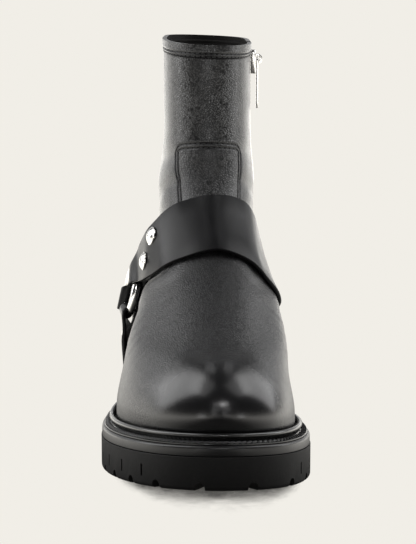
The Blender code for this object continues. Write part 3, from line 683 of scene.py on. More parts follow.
pebble_top = eased(leather_group, pebbles.outputs["Distance"], 0.0, PEBBLE_ROUND)
stretch = add_node(
    leather_group,
    "ShaderNodeMapping",
    {"Vector": coordinates, "Rotation": WRINKLE_TURN, "Scale": WRINKLE},
)
wrinkles = noise(leather_group, stretch.outputs["Vector"], 1.0, WRINKLE_DETAIL)
patches = noise(leather_group, coordinates, PATCH_SCALE, PATCH_DETAIL)
mixed = add_node(
    leather_group,
    "ShaderNodeMix",
    {"Factor": patches.outputs["Fac"], "A": pebble_top, "B": wrinkles.outputs["Fac"]},
)
spread_out = add_node(leather_group, "ShaderNodeSeparateXYZ", {"Vector": coordinates})
calm = eased(leather_group, spread_out.outputs["Y"], TOE_SMOOTH, TOE_GRAINED, TOE_GRAIN)
grain = work_out(leather_group, "MULTIPLY", mixed.outputs["Result"], calm)
crisp = eased(leather_group, mixed.outputs["Result"], HOLLOW_UP_TO, TOP_FROM)
gloss = add_node(leather_group, "ShaderNodeMix", {"Factor": calm, "A": TOE_GLOSS, "B": crisp})
leather_group.links.new(grain, group_out.inputs["Grain"])
leather_group.links.new(gloss.outputs["Result"], group_out.inputs["Gloss"])
leather_group.links.new(calm, group_out.inputs["Calm"])
leather_group.links.new(patches.outputs["Fac"], group_out.inputs["Tone"])

LEATHER_COLOUR = (0.0026, 0.0026, 0.0030)
LEATHER_WORN = (0.0046, 0.0045, 0.0048)
GRAIN_DEPTH = 0.18 * MM
HOLLOW_GLOSS = 0.24
TOP_GLOSS = 0.56
# The sheen left on the seams, cut low as painted shade.
SEAM_SHADE_GLOSS = 0.05


def leather_material(name, rough_low, rough_high):
    """Black pull-up leather: pebbled grain that fades out at the polished toe."""
    material, tree, shader = surface(name, LEATHER_COLOUR)
    hide = use_group(tree, leather_group, Pebble=PEBBLE)
    tint = add_node(
        tree,
        "ShaderNodeMix",
        {"Factor": hide.outputs["Tone"], "A": (*LEATHER_COLOUR, 1), "B": (*LEATHER_WORN, 1)},
        data_type="RGBA",
    )
    tree.links.new(tint.outputs["Result"], shader.inputs["Base Color"])
    tree.links.new(ramp(tree, hide.outputs["Calm"], rough_low, rough_high), shader.inputs["Roughness"])
    shine = ramp(tree, hide.outputs["Gloss"], HOLLOW_GLOSS, TOP_GLOSS)
    # Painted shade: the sheen drops along the seams and their stitch troughs.
    seam = add_node(tree, "ShaderNodeAttribute", attribute_name="seam")
    clear_of_seam = ramp(tree, seam.outputs["Fac"], 1.0, SEAM_SHADE_GLOSS)
    tree.links.new(work_out(tree, "MULTIPLY", shine, clear_of_seam), shader.inputs["Specular IOR Level"])
    roughen(tree, shader, hide.outputs["Grain"], GRAIN_DEPTH)
    return material


upper_leather = leather_material("upper_leather", 0.26, 0.29)

LINING_COLOUR = (0.0042, 0.0038, 0.0034)
lining = speckled(
    "lining", LINING_COLOUR, rough=(0.6, 0.8), speckle=1100.0, depth=0.12 * MM, specular=0.12
)

RIM_BEVEL = 1.0 * MM
RIM_SHARP = radians(55)


def thicken(obj, thick):
    """Gives a sheet its thickness, inward from its face."""
    wall = obj.modifiers.new("wall", "SOLIDIFY")
    wall.thickness = thick
    wall.offset = -1
    return wall


def round_rim(obj, width, segments):
    """Rounds the cut edges of a thickened sheet."""
    rim = obj.modifiers.new("rim", "BEVEL")
    rim.width = width
    rim.segments = segments
    rim.limit_method = "ANGLE"
    rim.angle_limit = RIM_SHARP


upper_mesh = sheet(UPPER_COLUMNS, BODY_ROWS + BAND_ROWS, upper_place, upper_seam_shade)
weld(upper_mesh)
press_creases(upper_mesh)
cover = bmesh.new()
join_into(cover, upper_mesh)
upper = piece("upper_leather", upper_mesh, upper_leather, lining)
upper_wall = thicken(upper, WALL)
upper_wall.use_even_offset = True
upper_wall.material_offset = 1
round_rim(upper, RIM_BEVEL, 3)
settle(upper)
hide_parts("upper")

THREAD_COLOUR = (0.004, 0.004, 0.0044)


def strands(name, colour, rough, across, along, depth):
    """Twisted thread or woven tape: slanting strands, so many across it and along it."""
    material, tree, shader = surface(name, colour)
    scaled = add_node(
        tree, "ShaderNodeMapping", {"Vector": places(tree, "UV"), "Scale": (across, along, 1.0)}
    )
    wave = add_node(
        tree,
        "ShaderNodeTexWave",
        {"Vector": scaled.outputs["Vector"], "Scale": 1.0},
        bands_direction="DIAGONAL",
    )
    tree.links.new(ramp(tree, wave.outputs["Fac"], *rough), shader.inputs["Roughness"])
    roughen(tree, shader, wave.outputs["Fac"], depth)
    return material


thread = strands("thread", THREAD_COLOUR, rough=(0.4, 0.6), across=2.5, along=2.5, depth=0.12 * MM)

STITCH_LONG = 2.5 * MM
STITCH_STEP = 3.0 * MM
STITCH_THICK = 0.55 * MM
THREAD_SIDES = 6
THREAD_RINGS = 5


def runs_of(points):
    """How far along the line each of its points lies."""
    runs = [0.0]
    for point, following in zip(points, points[1:]):
        runs.append(runs[-1] + (following - point).length)
    return runs


def stitch_line(mesh, line, long=STITCH_LONG, step=STITCH_STEP, thick=STITCH_THICK, slant=0.0):
    """Lays stitches on a line of (point, normal) pairs, each turned out of the line by the slant."""
    points = [point for point, _ in line]
    runs = runs_of(points)
    count = max(1, round(runs[-1] / step))
    for i in range(count):
        run = runs[-1] * (i + 0.5) / count
        near = min(bisect_right(runs, run), len(points) - 1)
        share = (run - runs[near - 1]) / (runs[near] - runs[near - 1])
        middle = points[near - 1].lerp(points[near], share)
        normal = line[near - 1][1]
        along = (points[near] - points[near - 1]).normalized()
        along.rotate(Matrix.Rotation(slant, 3, normal))
        across = normal.cross(along).normalized()
        turn = Matrix((across, along.cross(across), along)).transposed().to_4x4()
        size = Matrix.Diagonal((thick / 2, thick / 2, long / 2, 1))
        matrix = Matrix.Translation(middle) @ turn @ size
        bmesh.ops.create_uvsphere(
            mesh,
            u_segments=THREAD_SIDES,
            v_segments=THREAD_RINGS,
            radius=1,
            matrix=matrix,
            calc_uvs=True,
        )


def stitch_mesh():
    mesh = bmesh.new()
    mesh.loops.layers.uv.new("UVMap")
    return mesh


COLLAR_LINE_STEPS = 160
collar_threads = stitch_mesh()
for row in BAND_STITCHES:
    level = COLLAR - row / COLLAR_RISE
    start = zip_angle(level) + (SLOT_HALF + ZIP_STITCH / 2) / per_radian(level, zip_angle(level))
    end = 2 * pi + 2 * zip_angle(level) - start
    line = []
    for i in range(COLLAR_LINE_STEPS + 1):
        angle = start + (end - start) * i / COLLAR_LINE_STEPS
        line.append((on_upper(level, angle, BAND_STEP - STITCH_DIP), outward(level, angle)))
    stitch_line(collar_threads, line)
collar_stitches = piece("collar_stitches", collar_threads, thread)

ZIP_LINE_STEPS = 60
ZIP_STITCH_FOOT = 79 * MM
zip_threads = stitch_mesh()
for side in (-1, 1):
    line = []
    for i in range(ZIP_LINE_STEPS + 1):
        z = ZIP_STITCH_FOOT + (ZIP_TOP - BAND_EDGE - ZIP_STITCH_FOOT) * i / ZIP_LINE_STEPS
        level, angle = find_on_upper(ZIP_Y, z, MEDIAL)
        turned = angle + side * (slot_half(level) + ZIP_STITCH) / per_radian(level, angle)
        line.append((on_upper(level, turned, -STITCH_DIP / 2), outward(level, turned)))
    stitch_line(zip_threads, line)
zip_stitches = piece("zip_stitches", zip_threads, thread)


# Vamp: one piece of the same leather from the toe up over the instep, ending in a rounded tongue.
# Its edge lies over the quarters, with two rows of stitches, and runs down under the harness straps.

VAMP_COLUMNS = 150
VAMP_ROWS = 190
VAMP_EDGE_COLUMNS = 16
VAMP_EDGE_WIDE = 7 * MM
VAMP_EDGE_ROWS = 16
VAMP_STITCHES = [1.9 * MM, 4.3 * MM]
VAMP_LAPPED = 1.25 * MM
VAMP_LOW = 0.3 * MM
VAMP_THICK = 1.15 * MM
VAMP_BEVEL = 0.35 * MM
LAP_FROM = 8 * MM
LAP_TO = 22 * MM
TONGUE_CROWN = 0.10
TONGUE_CORNER = 0.3
TONGUE_CORNER_FROM = 0.72


def vamp_top(across):
    """The level of the tongue's edge at a share of its half-width."""
    past = max(0.0, (abs(across) - TONGUE_CORNER_FROM) / (1 - TONGUE_CORNER_FROM))
    return VAMP_TOP - TONGUE_CROWN * across**2 - TONGUE_CORNER * past**3


def vamp_spot(column, row):
    """The level and angle at a place on the vamp's grid, and its distance from the vamp's edge."""
    side = MEDIAL if column >= VAMP_COLUMNS / 2 else LATERAL
    near = min(column, VAMP_COLUMNS - column)
    half = VAMP_COLUMNS / 2
    top = vamp_top(1 - near / half)
    rows_left = VAMP_ROWS - row
    edge_levels = VAMP_EDGE_WIDE / per_level(VAMP_TOP, 0.0)
    if rows_left <= VAMP_EDGE_ROWS:
        level = top - edge_levels * rows_left / VAMP_EDGE_ROWS
    else:
        level = (top - edge_levels) * row / (VAMP_ROWS - VAMP_EDGE_ROWS)
    edge = vamp_edge(level)
    scale = per_radian(level, edge)
    if near <= VAMP_EDGE_COLUMNS:
        from_side = VAMP_EDGE_WIDE * near / VAMP_EDGE_COLUMNS
    else:
        inner = edge * scale - VAMP_EDGE_WIDE
        from_side = VAMP_EDGE_WIDE + inner * (near - VAMP_EDGE_COLUMNS) / (half - VAMP_EDGE_COLUMNS)
    from_top = (top - level) * per_level(VAMP_TOP, 0.0)
    return level, side * (edge - from_side / scale), min(from_side, from_top)


def vamp_lift(inside):
    """How far the vamp's face stands off the last, this far in from its edge."""
    lapped = 1 - smooth_step(LAP_FROM, LAP_TO, inside)
    return VAMP_LOW + (VAMP_LAPPED - VAMP_LOW) * lapped - stitch_dip(inside, VAMP_STITCHES)


def vamp_place(u, v):
    level, angle, inside = vamp_spot(u * VAMP_COLUMNS, v * VAMP_ROWS)
    return on_upper(level, angle, vamp_lift(inside))


# Painted shade along the vamp's stitch rows: how near a place lies to them.
def vamp_seam_shade(u, v):
    _, _, inside = vamp_spot(u * VAMP_COLUMNS, v * VAMP_ROWS)
    return min(1.0, stitch_dip(inside, VAMP_STITCHES) / STITCH_DIP)


vamp_leather = leather_material("vamp_leather", 0.22, 0.38)
vamp_mesh = sheet(VAMP_COLUMNS, VAMP_ROWS, vamp_place, vamp_seam_shade)
press_creases(vamp_mesh)
join_into(cover, vamp_mesh)
vamp = piece("vamp_leather", vamp_mesh, vamp_leather)
thicken(vamp, VAMP_THICK)
round_rim(vamp, VAMP_BEVEL, 2)
settle(vamp)
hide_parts("vamp_tongue")

vamp_threads = stitch_mesh()
for distance in VAMP_STITCHES:
    column = VAMP_EDGE_COLUMNS * distance / VAMP_EDGE_WIDE
    row = VAMP_ROWS - VAMP_EDGE_ROWS * distance / VAMP_EDGE_WIDE
    spots = [(column, i) for i in range(2, int(row))]
    spots += [(column + i, row) for i in range(int(VAMP_COLUMNS - 2 * column))]
    spots += [(VAMP_COLUMNS - column, i) for i in reversed(range(2, int(row)))]
    line = []
    for spot in spots:
        level, angle, inside = vamp_spot(*spot)
        line.append((on_upper(level, angle, vamp_lift(inside)), outward(level, angle)))
    stitch_line(vamp_threads, line)
vamp_stitches = piece("vamp_stitches", vamp_threads, thread)


# Zip: a metal chain on two woven tapes, sewn behind the upper's edges on the medial side.
# The slider is shown closed at the collar, and its flat pull hangs from the slider's eye.

TAPE_HALF = SLOT_HALF + 1.2 * MM
TAPE_DEEP = -1.5 * MM
TAPE_THICK = 0.7 * MM
TAPE_COLUMNS = 8
TAPE_ROWS = 60
TAPE_COLOUR = (0.008, 0.008, 0.009)
TOOTH_STEP = 2.1 * MM
TOOTH_SIZE = (3.0 * MM, 1.15 * MM, 1.7 * MM)
TOOTH_SHIFT = 0.85 * MM
TOOTH_LIFT = -0.45 * MM
TOOTH_BEVEL = 0.22 * MM
NICKEL_COLOUR = (0.66, 0.65, 0.63)


@lru_cache(maxsize=None)
def zip_frame(z):
    """Where the zip's middle crosses this height, the way it faces and the way across it."""
    level, angle = find_on_upper(ZIP_Y, z, MEDIAL)
    higher = find_on_upper(ZIP_Y, z + MM, MEDIAL)
    zip_spot, normal = on_upper(level, angle, 0), outward(level, angle)
    up = (on_upper(*higher, 0) - zip_spot).normalized()
    return zip_spot, normal, up.cross(normal).normalized()


def tape_place(u, v):
    zip_spot, normal, across = zip_frame(ZIP_FOOT + (ZIP_TOP - ZIP_FOOT) * v)
    return zip_spot + across * TAPE_HALF * (2 * u - 1) + normal * TAPE_DEEP


tape_cloth = strands(
    "tape_cloth", TAPE_COLOUR, rough=(0.7, 0.95), across=9.0, along=190.0, depth=0.2 * MM
)
zip_tape = piece("zip_tape", sheet(TAPE_COLUMNS, TAPE_ROWS, tape_place), tape_cloth)
thicken(zip_tape, TAPE_THICK)
settle(zip_tape)

nickel = speckled(
    "nickel", NICKEL_COLOUR, rough=(0.10, 0.30), speckle=500.0, depth=0.015 * MM, metallic=1.0
)
CORNER = radians(30)


def round_edges(mesh, width, segments, sharp=CORNER):
    """Rounds every edge where two faces meet at more than the sharp angle."""
    edges = [edge for edge in mesh.edges if edge.is_manifold and edge.calc_face_angle() > sharp]
    bmesh.ops.bevel(
        mesh,
        geom=edges,
        affect="EDGES",
        offset=width,
        segments=segments,
        profile=0.5,
        material=-1,
        clamp_overlap=True,
    )


teeth_mesh = bmesh.new()
tooth_count = int((ZIP_TOP - ZIP_FOOT - 2 * TOOTH_STEP) / TOOTH_STEP)
for i in range(2 * tooth_count):
    side = 1 if i % 2 else -1
    zip_spot, normal, across = zip_frame(ZIP_FOOT + TOOTH_STEP + TOOTH_STEP * i / 2)
    turn = Matrix((across, normal.cross(across), normal)).transposed().to_4x4()
    middle = zip_spot + across * side * TOOTH_SHIFT + normal * TOOTH_LIFT
    matrix = Matrix.Translation(middle) @ turn @ Matrix.Diagonal((*TOOTH_SIZE, 1))
    bmesh.ops.create_cube(teeth_mesh, size=1, matrix=matrix)
round_edges(teeth_mesh, TOOTH_BEVEL, 1)
zip_teeth = piece("zip_teeth", teeth_mesh, nickel)
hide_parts("zip_chain")

SLIDER_Z = 208 * MM
SLIDER_UNDER = 0.6 * MM
SLIDER_FACE = 3.3 * MM
SLIDER_BEVEL = 0.35 * MM
SLIDER_OUTLINE = [(2.2, 6.8), (3.4, 5.2), (3.4, -1.0), (2.6, -5.6), (1.6, -6.8)]
PIN_LIFT = 4.2 * MM
PIN_RISE = 1.5 * MM
HOLE_RADIUS = 1.5 * MM
BAIL_RADIUS = 3.0 * MM
BAIL_HALF = 1.1 * MM
BAIL_STEPS = 32
slider_place, slider_out, slider_across = zip_frame(SLIDER_Z)
slider_frame = Matrix((slider_out, slider_across, Vector((0, 0, 1)))).transposed()


def slider_point(lift, across, rise):
    return slider_place + slider_frame @ Vector((lift, across, rise))


def flat_plate(mesh, loops, thick):
    """A plate with rounded edges between flat outlines, the first outside and any others holes in it."""
    edges = []
    for loop in loops:
        verts = [mesh.verts.new(point) for point in loop]
        edges += [mesh.edges.new((verts[i - 1], verts[i])) for i in range(len(verts))]
    filled = bmesh.ops.triangle_fill(mesh, use_beauty=True, use_dissolve=True, edges=edges)
    faces = [item for item in filled["geom"] if isinstance(item, bmesh.types.BMFace)]
    raised = bmesh.ops.extrude_face_region(mesh, geom=faces, use_keep_orig=True)
    verts = [item for item in raised["geom"] if isinstance(item, bmesh.types.BMVert)]
    bmesh.ops.translate(mesh, verts=verts, vec=slider_out * thick)
    bmesh.ops.recalc_face_normals(mesh, faces=mesh.faces)


def mirrored_outline(half_outline, lift, rise=0.0):
    """An outline with two like halves across the zip, at this height off the leather."""
    right = [(wide * MM, rise + up * MM) for wide, up in half_outline]
    whole = right + [(-wide, up) for wide, up in reversed(right)]
    return [slider_point(lift, wide, up) for wide, up in whole]


slider_mesh = bmesh.new()
flat_plate(slider_mesh, [mirrored_outline(SLIDER_OUTLINE, SLIDER_UNDER)], SLIDER_FACE - SLIDER_UNDER)
round_edges(slider_mesh, SLIDER_BEVEL, 3)
eye_mesh = bmesh.new()
eye_section = [
    eye_mesh.verts.new(slider_point(PIN_LIFT + radius, wide, PIN_RISE))
    for radius, wide in (
        (HOLE_RADIUS, -BAIL_HALF),
        (BAIL_RADIUS, -BAIL_HALF),
        (BAIL_RADIUS, BAIL_HALF),
        (HOLE_RADIUS, BAIL_HALF),
    )
]
eye_edges = [eye_mesh.edges.new((eye_section[i - 1], eye_section[i])) for i in range(len(eye_section))]
eye_centre = slider_point(PIN_LIFT, 0, PIN_RISE)
spin_round(eye_mesh, eye_section + eye_edges, eye_centre, slider_across, BAIL_STEPS)
bmesh.ops.recalc_face_normals(eye_mesh, faces=eye_mesh.faces)
round_edges(eye_mesh, SLIDER_BEVEL, 2)
join_into(slider_mesh, eye_mesh)
eye_mesh.free()
zip_slider = piece("zip_slider_body", slider_mesh, nickel)
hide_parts("zip_slider")

PULL_THICK = 1.1 * MM
PULL_BEVEL = 0.25 * MM
PULL_CORNER = radians(50)
PULL_SIDE = [
    (1.9, 1.0),
    (2.7, 0.5),
    (2.7, -4.6),
    (1.7, -7.0),
    (2.9, -24.5),
    (2.4, -26.8),
    (1.0, -28.0),
]
PULL_WINDOW = [(1.6, -0.6), (1.6, -4.0)]
pull_mesh = bmesh.new()
pull_lift = PIN_LIFT - PULL_THICK / 2
flat_plate(
    pull_mesh,
    [mirrored_outline(PULL_SIDE, pull_lift, PIN_RISE), mirrored_outline(PULL_WINDOW, pull_lift, PIN_RISE)],
    PULL_THICK,
)
round_edges(pull_mesh, PULL_BEVEL, 2, PULL_CORNER)
zip_pull = piece("zip_pull_tab", pull_mesh, nickel, body="pull")
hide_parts("zip_pull")


# Welt: a strip of black rubber sewn round the feather line, with a raised storm bead against the leather.
# Slanted lock stitches of thick waxed thread lie in the groove between the bead and the ledge's edge.

WELT_UNDER = 2.3 * MM
BEAD_OUT = 2.75
BEAD_RISE = 4.1
BEAD_RADIUS = 1.3
BEAD_STEPS = 14
BEAD_FROM = radians(-75)
WELT_FOOT = [(-5.0, 0.0), (6.6, 0.0), (6.6, 0.35), (6.3, 0.6), (3.0, 0.6), (2.6, 1.0)]
WELT_BACK = [(1.35, 1.8), (-5.0, 1.8)]
welt_profile = list(WELT_FOOT)
for i in range(BEAD_STEPS + 1):
    turn = BEAD_FROM + (pi - BEAD_FROM) * i / BEAD_STEPS
    welt_profile.append((BEAD_OUT + BEAD_RADIUS * cos(turn), BEAD_RISE + BEAD_RADIUS * sin(turn)))
welt_profile += WELT_BACK


def welt_point(angle, out, rise):
    point = outline_point(angle, out * MM)
    y = point.y if out > 0 else last_point(0, angle).y
    return Vector((point.x, point.y, seat_line(y) - WELT_UNDER + rise * MM))


def welt_place(u, v):
    column = round(u * len(outline)) % len(outline)
    return welt_point(outline[column], *welt_profile[round(v * len(welt_profile)) % len(welt_profile)])


RUBBER_COLOUR = (0.0035, 0.0034, 0.0034)
welt_rubber = speckled(
    "welt_rubber", RUBBER_COLOUR, rough=(0.18, 0.27), speckle=900.0, depth=0.02 * MM
)
welt_mesh = sheet(len(outline), len(welt_profile), welt_place)
weld(welt_mesh)
welt = piece("welt_strip", welt_mesh, welt_rubber)
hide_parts("welt")

WELT_STITCH_OUT = 4.9
WELT_STITCH_RISE = 1.15
WELT_STITCH_LONG = 4.6 * MM
WELT_STITCH_STEP = 2.9 * MM
WELT_STITCH_THICK = 1.25 * MM
WELT_STITCH_SLANT = radians(35)
WAXED_COLOUR = (0.014, 0.014, 0.0145)
waxed_thread = strands(
    "waxed_thread", WAXED_COLOUR, rough=(0.3, 0.5), across=3.0, along=3.0, depth=0.25 * MM
)
welt_threads = stitch_mesh()
line = []
for angle in [*outline, outline[0]]:
    line.append((welt_point(angle, WELT_STITCH_OUT, WELT_STITCH_RISE), Vector((0, 0, 1))))
stitch_line(
    welt_threads, line, WELT_STITCH_LONG, WELT_STITCH_STEP, WELT_STITCH_THICK, WELT_STITCH_SLANT
)
welt_stitches = piece("welt_stitches", welt_threads, waxed_thread)


# Midsole: one band of black rubber, cut to the sole's outline and glued under the welt.
# Its upper edge is trimmed and polished round, so that it catches the light.

MIDSOLE_TOP = WELT_UNDER + GAP
MIDSOLE_THICK = 5.2 * MM
MIDSOLE_EDGE = 7.9 * MM
MIDSOLE_ROUND = 1.6 * MM
MIDSOLE_FOOT_ROUND = 0.25 * MM
ROUND_STEPS = 5
MIDSOLE_COLOUR = (0.0040, 0.0040, 0.0043)


def rounded_edge(edge, radius, top, foot, foot_radius=None):
    """Rows round a plate's edge: over its top corner and under its lower one."""
    under = foot_radius or radius
    rows = []
    for i in range(ROUND_STEPS + 1):
        turn = pi / 2 * (1 - i / ROUND_STEPS)
        rows.append((edge - radius * (1 - cos(turn)), 0.0, top(radius * (1 - sin(turn)))))
    for i in range(ROUND_STEPS + 1):
        turn = pi / 2 * i / ROUND_STEPS
        rows.append((edge - under * (1 - cos(turn)), 0.0, foot(under * (1 - sin(turn)))))
    return rows


midsole_foot = MIDSOLE_TOP + MIDSOLE_THICK
midsole_rows = flat_rows(MIDSOLE_EDGE - MIDSOLE_ROUND, below_seat(MIDSOLE_TOP))
midsole_rows += rounded_edge(
    MIDSOLE_EDGE,
    MIDSOLE_ROUND,
    lambda drop: below_seat(MIDSOLE_TOP + drop),
    lambda rise: below_seat(midsole_foot - rise),
    MIDSOLE_FOOT_ROUND,
)
midsole_rows += reversed(flat_rows(MIDSOLE_EDGE - MIDSOLE_ROUND, below_seat(midsole_foot)))
midsole_rubber = speckled(
    "midsole_rubber", MIDSOLE_COLOUR, rough=(0.26, 0.38), speckle=700.0, depth=0.04 * MM, specular=0.3
)
midsole = piece("midsole_band", sole_plate(midsole_rows, outline), midsole_rubber)
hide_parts("midsole")


# Outsole: thick moulded rubber with toe spring and arch, its tread cut into lugs by round-topped grooves.
# The grooves break the lower edge into notches, and small slits stand in its sides between them.

OUTSOLE_TOP = MIDSOLE_TOP + MIDSOLE_THICK + GAP
TREAD_SPRING = 13.8 * MM
ARCH_FROM = -4 * MM
HEEL_BREAST = 56 * MM
HEEL_HEIGHT = 24.8 * MM
HEEL_SLOPE = 0.044
TOP_ROUND = 0.4 * MM
FOOT_ROUND = 2.0 * MM
TREAD_ROWS = 6
GROOVE_WIDE = 5.2 * MM
GROOVE_HIGH = 4.2 * MM
GROOVE_BELOW = 4 * MM
LUG_PITCH = 20.5 * MM
LUG_PHASE = 0.18
LUGS_BACK_TO = 2 * MM
GROOVE_OUT = 12 * MM
GROOVE_IN = -13 * MM
CHANNEL_AT = -15 * MM
CHANNEL_STEPS = 48
BAR_GROOVES_Y = [-96, -74, -52, -30, -8]
BAR_SWEEP = 9 * MM
BAR_MARGIN = 1.5 * MM
ARCH_POINTS = 9
EDGE_STEPS = 600
SLIT_PHASE = LUG_PHASE + 0.5
SLIT_SIZE = (3.2 * MM, 1.5 * MM, 6.0 * MM)
SLIT_RISE = 8.0 * MM
SLITS_FROM = -118 * MM


def tread_line(y):
    """The underside of the outsole: the tread at the front, the arch, and a flat seat for the heel."""
    heel_seat = HEEL_HEIGHT + HEEL_SLOPE * (y - HEEL_BREAST)
    return heel_seat * smooth_step(ARCH_FROM, HEEL_BREAST, y) + toe_lift(y, TREAD_SPRING)


def above_tread(rise):
    return lambda y: tread_line(y) + rise


def groove(mesh, path):
    """Adds a slot with a round top along a path of points on the tread."""

    def place(u, v):
        i = round(v * (len(path) - 1))
        along = path[min(i + 1, len(path) - 1)] - path[max(i - 1, 0)]
        across = Vector((-along.y, along.x, 0)).normalized()
        up = along.cross(across).normalized()
        up = up if up.z > 0 else -up
        half = GROOVE_WIDE / 2
        spot = round(u * (ARCH_POINTS + 2)) % (ARCH_POINTS + 2)
        if spot >= ARCH_POINTS:
            side = -1 if spot == ARCH_POINTS else 1
            return path[i] + across * half * side - up * GROOVE_BELOW
        turn = pi * spot / (ARCH_POINTS - 1)
        return path[i] + across * half * cos(turn) + up * (GROOVE_HIGH - half + half * sin(turn))

    slot = sheet(ARCH_POINTS + 2, len(path) - 1, place)
    close_ends(slot)
    join_into(mesh, slot)
    slot.free()


def tread_place(angle, spread, height):
    point = outline_point(angle, spread)
    return Vector((point.x, point.y, height(point.y)))


def edge_grooves(angles, height):
    """Grooves that run in over the sole's edge at these angles."""
    mesh = bmesh.new()
    for angle in angles:
        groove(mesh, [tread_place(angle, spread, height) for spread in (GROOVE_OUT, GROOVE_IN)])
    return mesh


def side_ends(y, spread, height):
    """The two points at this y beside the sole's outline, the lateral one first."""
    return [tread_place(angle_at(0, y, side), spread, height) for side in (LATERAL, MEDIAL)]


def edge_angles(start, end, pitch, phase):
    """Angles spaced evenly along the outline between two angles, the first one phase of a step in."""
    turns = [start + (end - start) * i / EDGE_STEPS for i in range(EDGE_STEPS + 1)]
    points = [outline_point(turn, 0) for turn in turns]
    runs = runs_of([point.xy for point in points])
    count = round(runs[-1] / pitch)
    wanted = [runs[-1] * (i + phase) / count for i in range(count)]
    return [start + (end - start) * bisect_right(runs, run) / EDGE_STEPS for run in wanted]


def cut(obj, *cutter_meshes):
    """Cuts the shapes out of a piece."""
    cutters = []
    for mesh in cutter_meshes:
        bmesh.ops.translate(mesh, verts=mesh.verts, vec=TO_FRAME)
        data = bpy.data.meshes.new("cutter")
        mesh.to_mesh(data)
        mesh.free()
        cutter = bpy.data.objects.new("cutter", data)
        bpy.context.scene.collection.objects.link(cutter)
        cutters.append(cutter)
        step = obj.modifiers.new("cut", "BOOLEAN")
        step.object = cutter
    settle(obj)
    for cutter in cutters:
        bpy.data.objects.remove(cutter)


def outsole_edge(radius):
    return rounded_edge(OUTSOLE_EDGE, radius, lambda drop: below_seat(OUTSOLE_TOP + drop), above_tread)


outsole_rows = flat_rows(OUTSOLE_EDGE - TOP_ROUND, below_seat(OUTSOLE_TOP))
outsole_rows += outsole_edge(TOP_ROUND)[: ROUND_STEPS + 1] + outsole_edge(FOOT_ROUND)[ROUND_STEPS + 1 :]
for i in range(1, TREAD_ROWS + 1):
    outsole_rows.append((OUTSOLE_EDGE - FOOT_ROUND, i / TREAD_ROWS, tread_line))
outsole_rubber = speckled(
    "outsole_rubber", RUBBER_COLOUR, rough=(0.60, 0.75), speckle=600.0, depth=0.08 * MM, specular=0.15
)
outsole = piece("outsole_lugged", sole_plate(outsole_rows, outline), outsole_rubber)

front_from = angle_at(0, LUGS_BACK_TO, LATERAL)
front_to = angle_at(0, LUGS_BACK_TO, MEDIAL)
side_grooves = edge_grooves(edge_angles(front_from, front_to, LUG_PITCH, LUG_PHASE), tread_line)
channel = bmesh.new()
channel_path = []
for i in range(CHANNEL_STEPS + 1):
    angle = front_from + (front_to - front_from) * i / CHANNEL_STEPS
    channel_path.append(tread_place(angle, CHANNEL_AT, tread_line))
groove(channel, channel_path)
bars = bmesh.new()
for row_y in BAR_GROOVES_Y:
    ends = side_ends(row_y * MM, CHANNEL_AT - BAR_MARGIN, tread_line)
    tip = (ends[0] + ends[1]) / 2
    tip.y -= BAR_SWEEP
    tip.z = tread_line(tip.y)
    groove(bars, [ends[0], tip, ends[1]])
slits = bmesh.new()
for angle in edge_angles(front_from, front_to, LUG_PITCH, SLIT_PHASE):
    spot = tread_place(angle, OUTSOLE_EDGE, above_tread(SLIT_RISE))
    if spot.y < SLITS_FROM:
        continue
    out = (spot - tread_place(angle, 0, above_tread(SLIT_RISE))).xy.normalized().to_3d()
    up = Vector((0, 0, 1))
    turn = Matrix((out, up.cross(out), up)).transposed().to_4x4()
    placing = Matrix.Translation(spot) @ turn @ Matrix.Diagonal((*SLIT_SIZE, 1))
    bmesh.ops.create_cube(slits, size=1, matrix=placing)
cut(outsole, side_grooves, channel, bars, slits)
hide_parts("outsole")


# Heel: a solid block of the same moulded rubber, glued under the flat seat of the outsole.
# Its lower edge is rounded, and its foot has grooves like those of the tread.

HEEL_SIDE_POINTS = 44
HEEL_ROUND = 1.5 * MM
HEEL_TAPER = 0.4 * MM
HEEL_LUG_PHASE = 0.5
HEEL_BARS_Y = [78, 100]
breast_angle = angle_at(0, HEEL_BREAST, MEDIAL)
heel_step = (pi - breast_angle) / (HEEL_SIDE_POINTS - 0.5)
medial_heel = [breast_angle + heel_step * i for i in range(HEEL_SIDE_POINTS)]
heel_outline = medial_heel + [2 * pi + across_from(angle) for angle in reversed(medial_heel)]


def floor_at(rise):
    return lambda y: rise


heel_top = above_tread(-2 * GAP)
heel_rows = flat_rows(OUTSOLE_EDGE, heel_top) + [(OUTSOLE_EDGE, 0.0, heel_top)]
heel_foot = rounded_edge(OUTSOLE_EDGE, HEEL_ROUND, floor_at, floor_at)[ROUND_STEPS + 1 :]
heel_rows += [(spread - HEEL_TAPER, inward, height) for spread, inward, height in heel_foot]
for i in range(1, TREAD_ROWS + 1):
    heel_rows.append((OUTSOLE_EDGE - HEEL_ROUND - HEEL_TAPER, i / TREAD_ROWS, floor_at(0)))
heel = piece("heel_block", sole_plate(heel_rows, heel_outline), outsole_rubber)
heel_lugs = edge_angles(heel_outline[0], heel_outline[-1], LUG_PITCH, HEEL_LUG_PHASE)
heel_grooves = edge_grooves(heel_lugs, floor_at(0))
heel_bars = bmesh.new()
for row_y in HEEL_BARS_Y:
    groove(heel_bars, side_ends(row_y * MM, CHANNEL_AT, floor_at(0)))
cut(heel, heel_grooves, heel_bars)
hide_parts("heel")


# Harness ring: round nickel-plated wire, bent to a ring, closed and polished.
# Nothing holds it but the loops of the three straps, so it is free to turn in them.

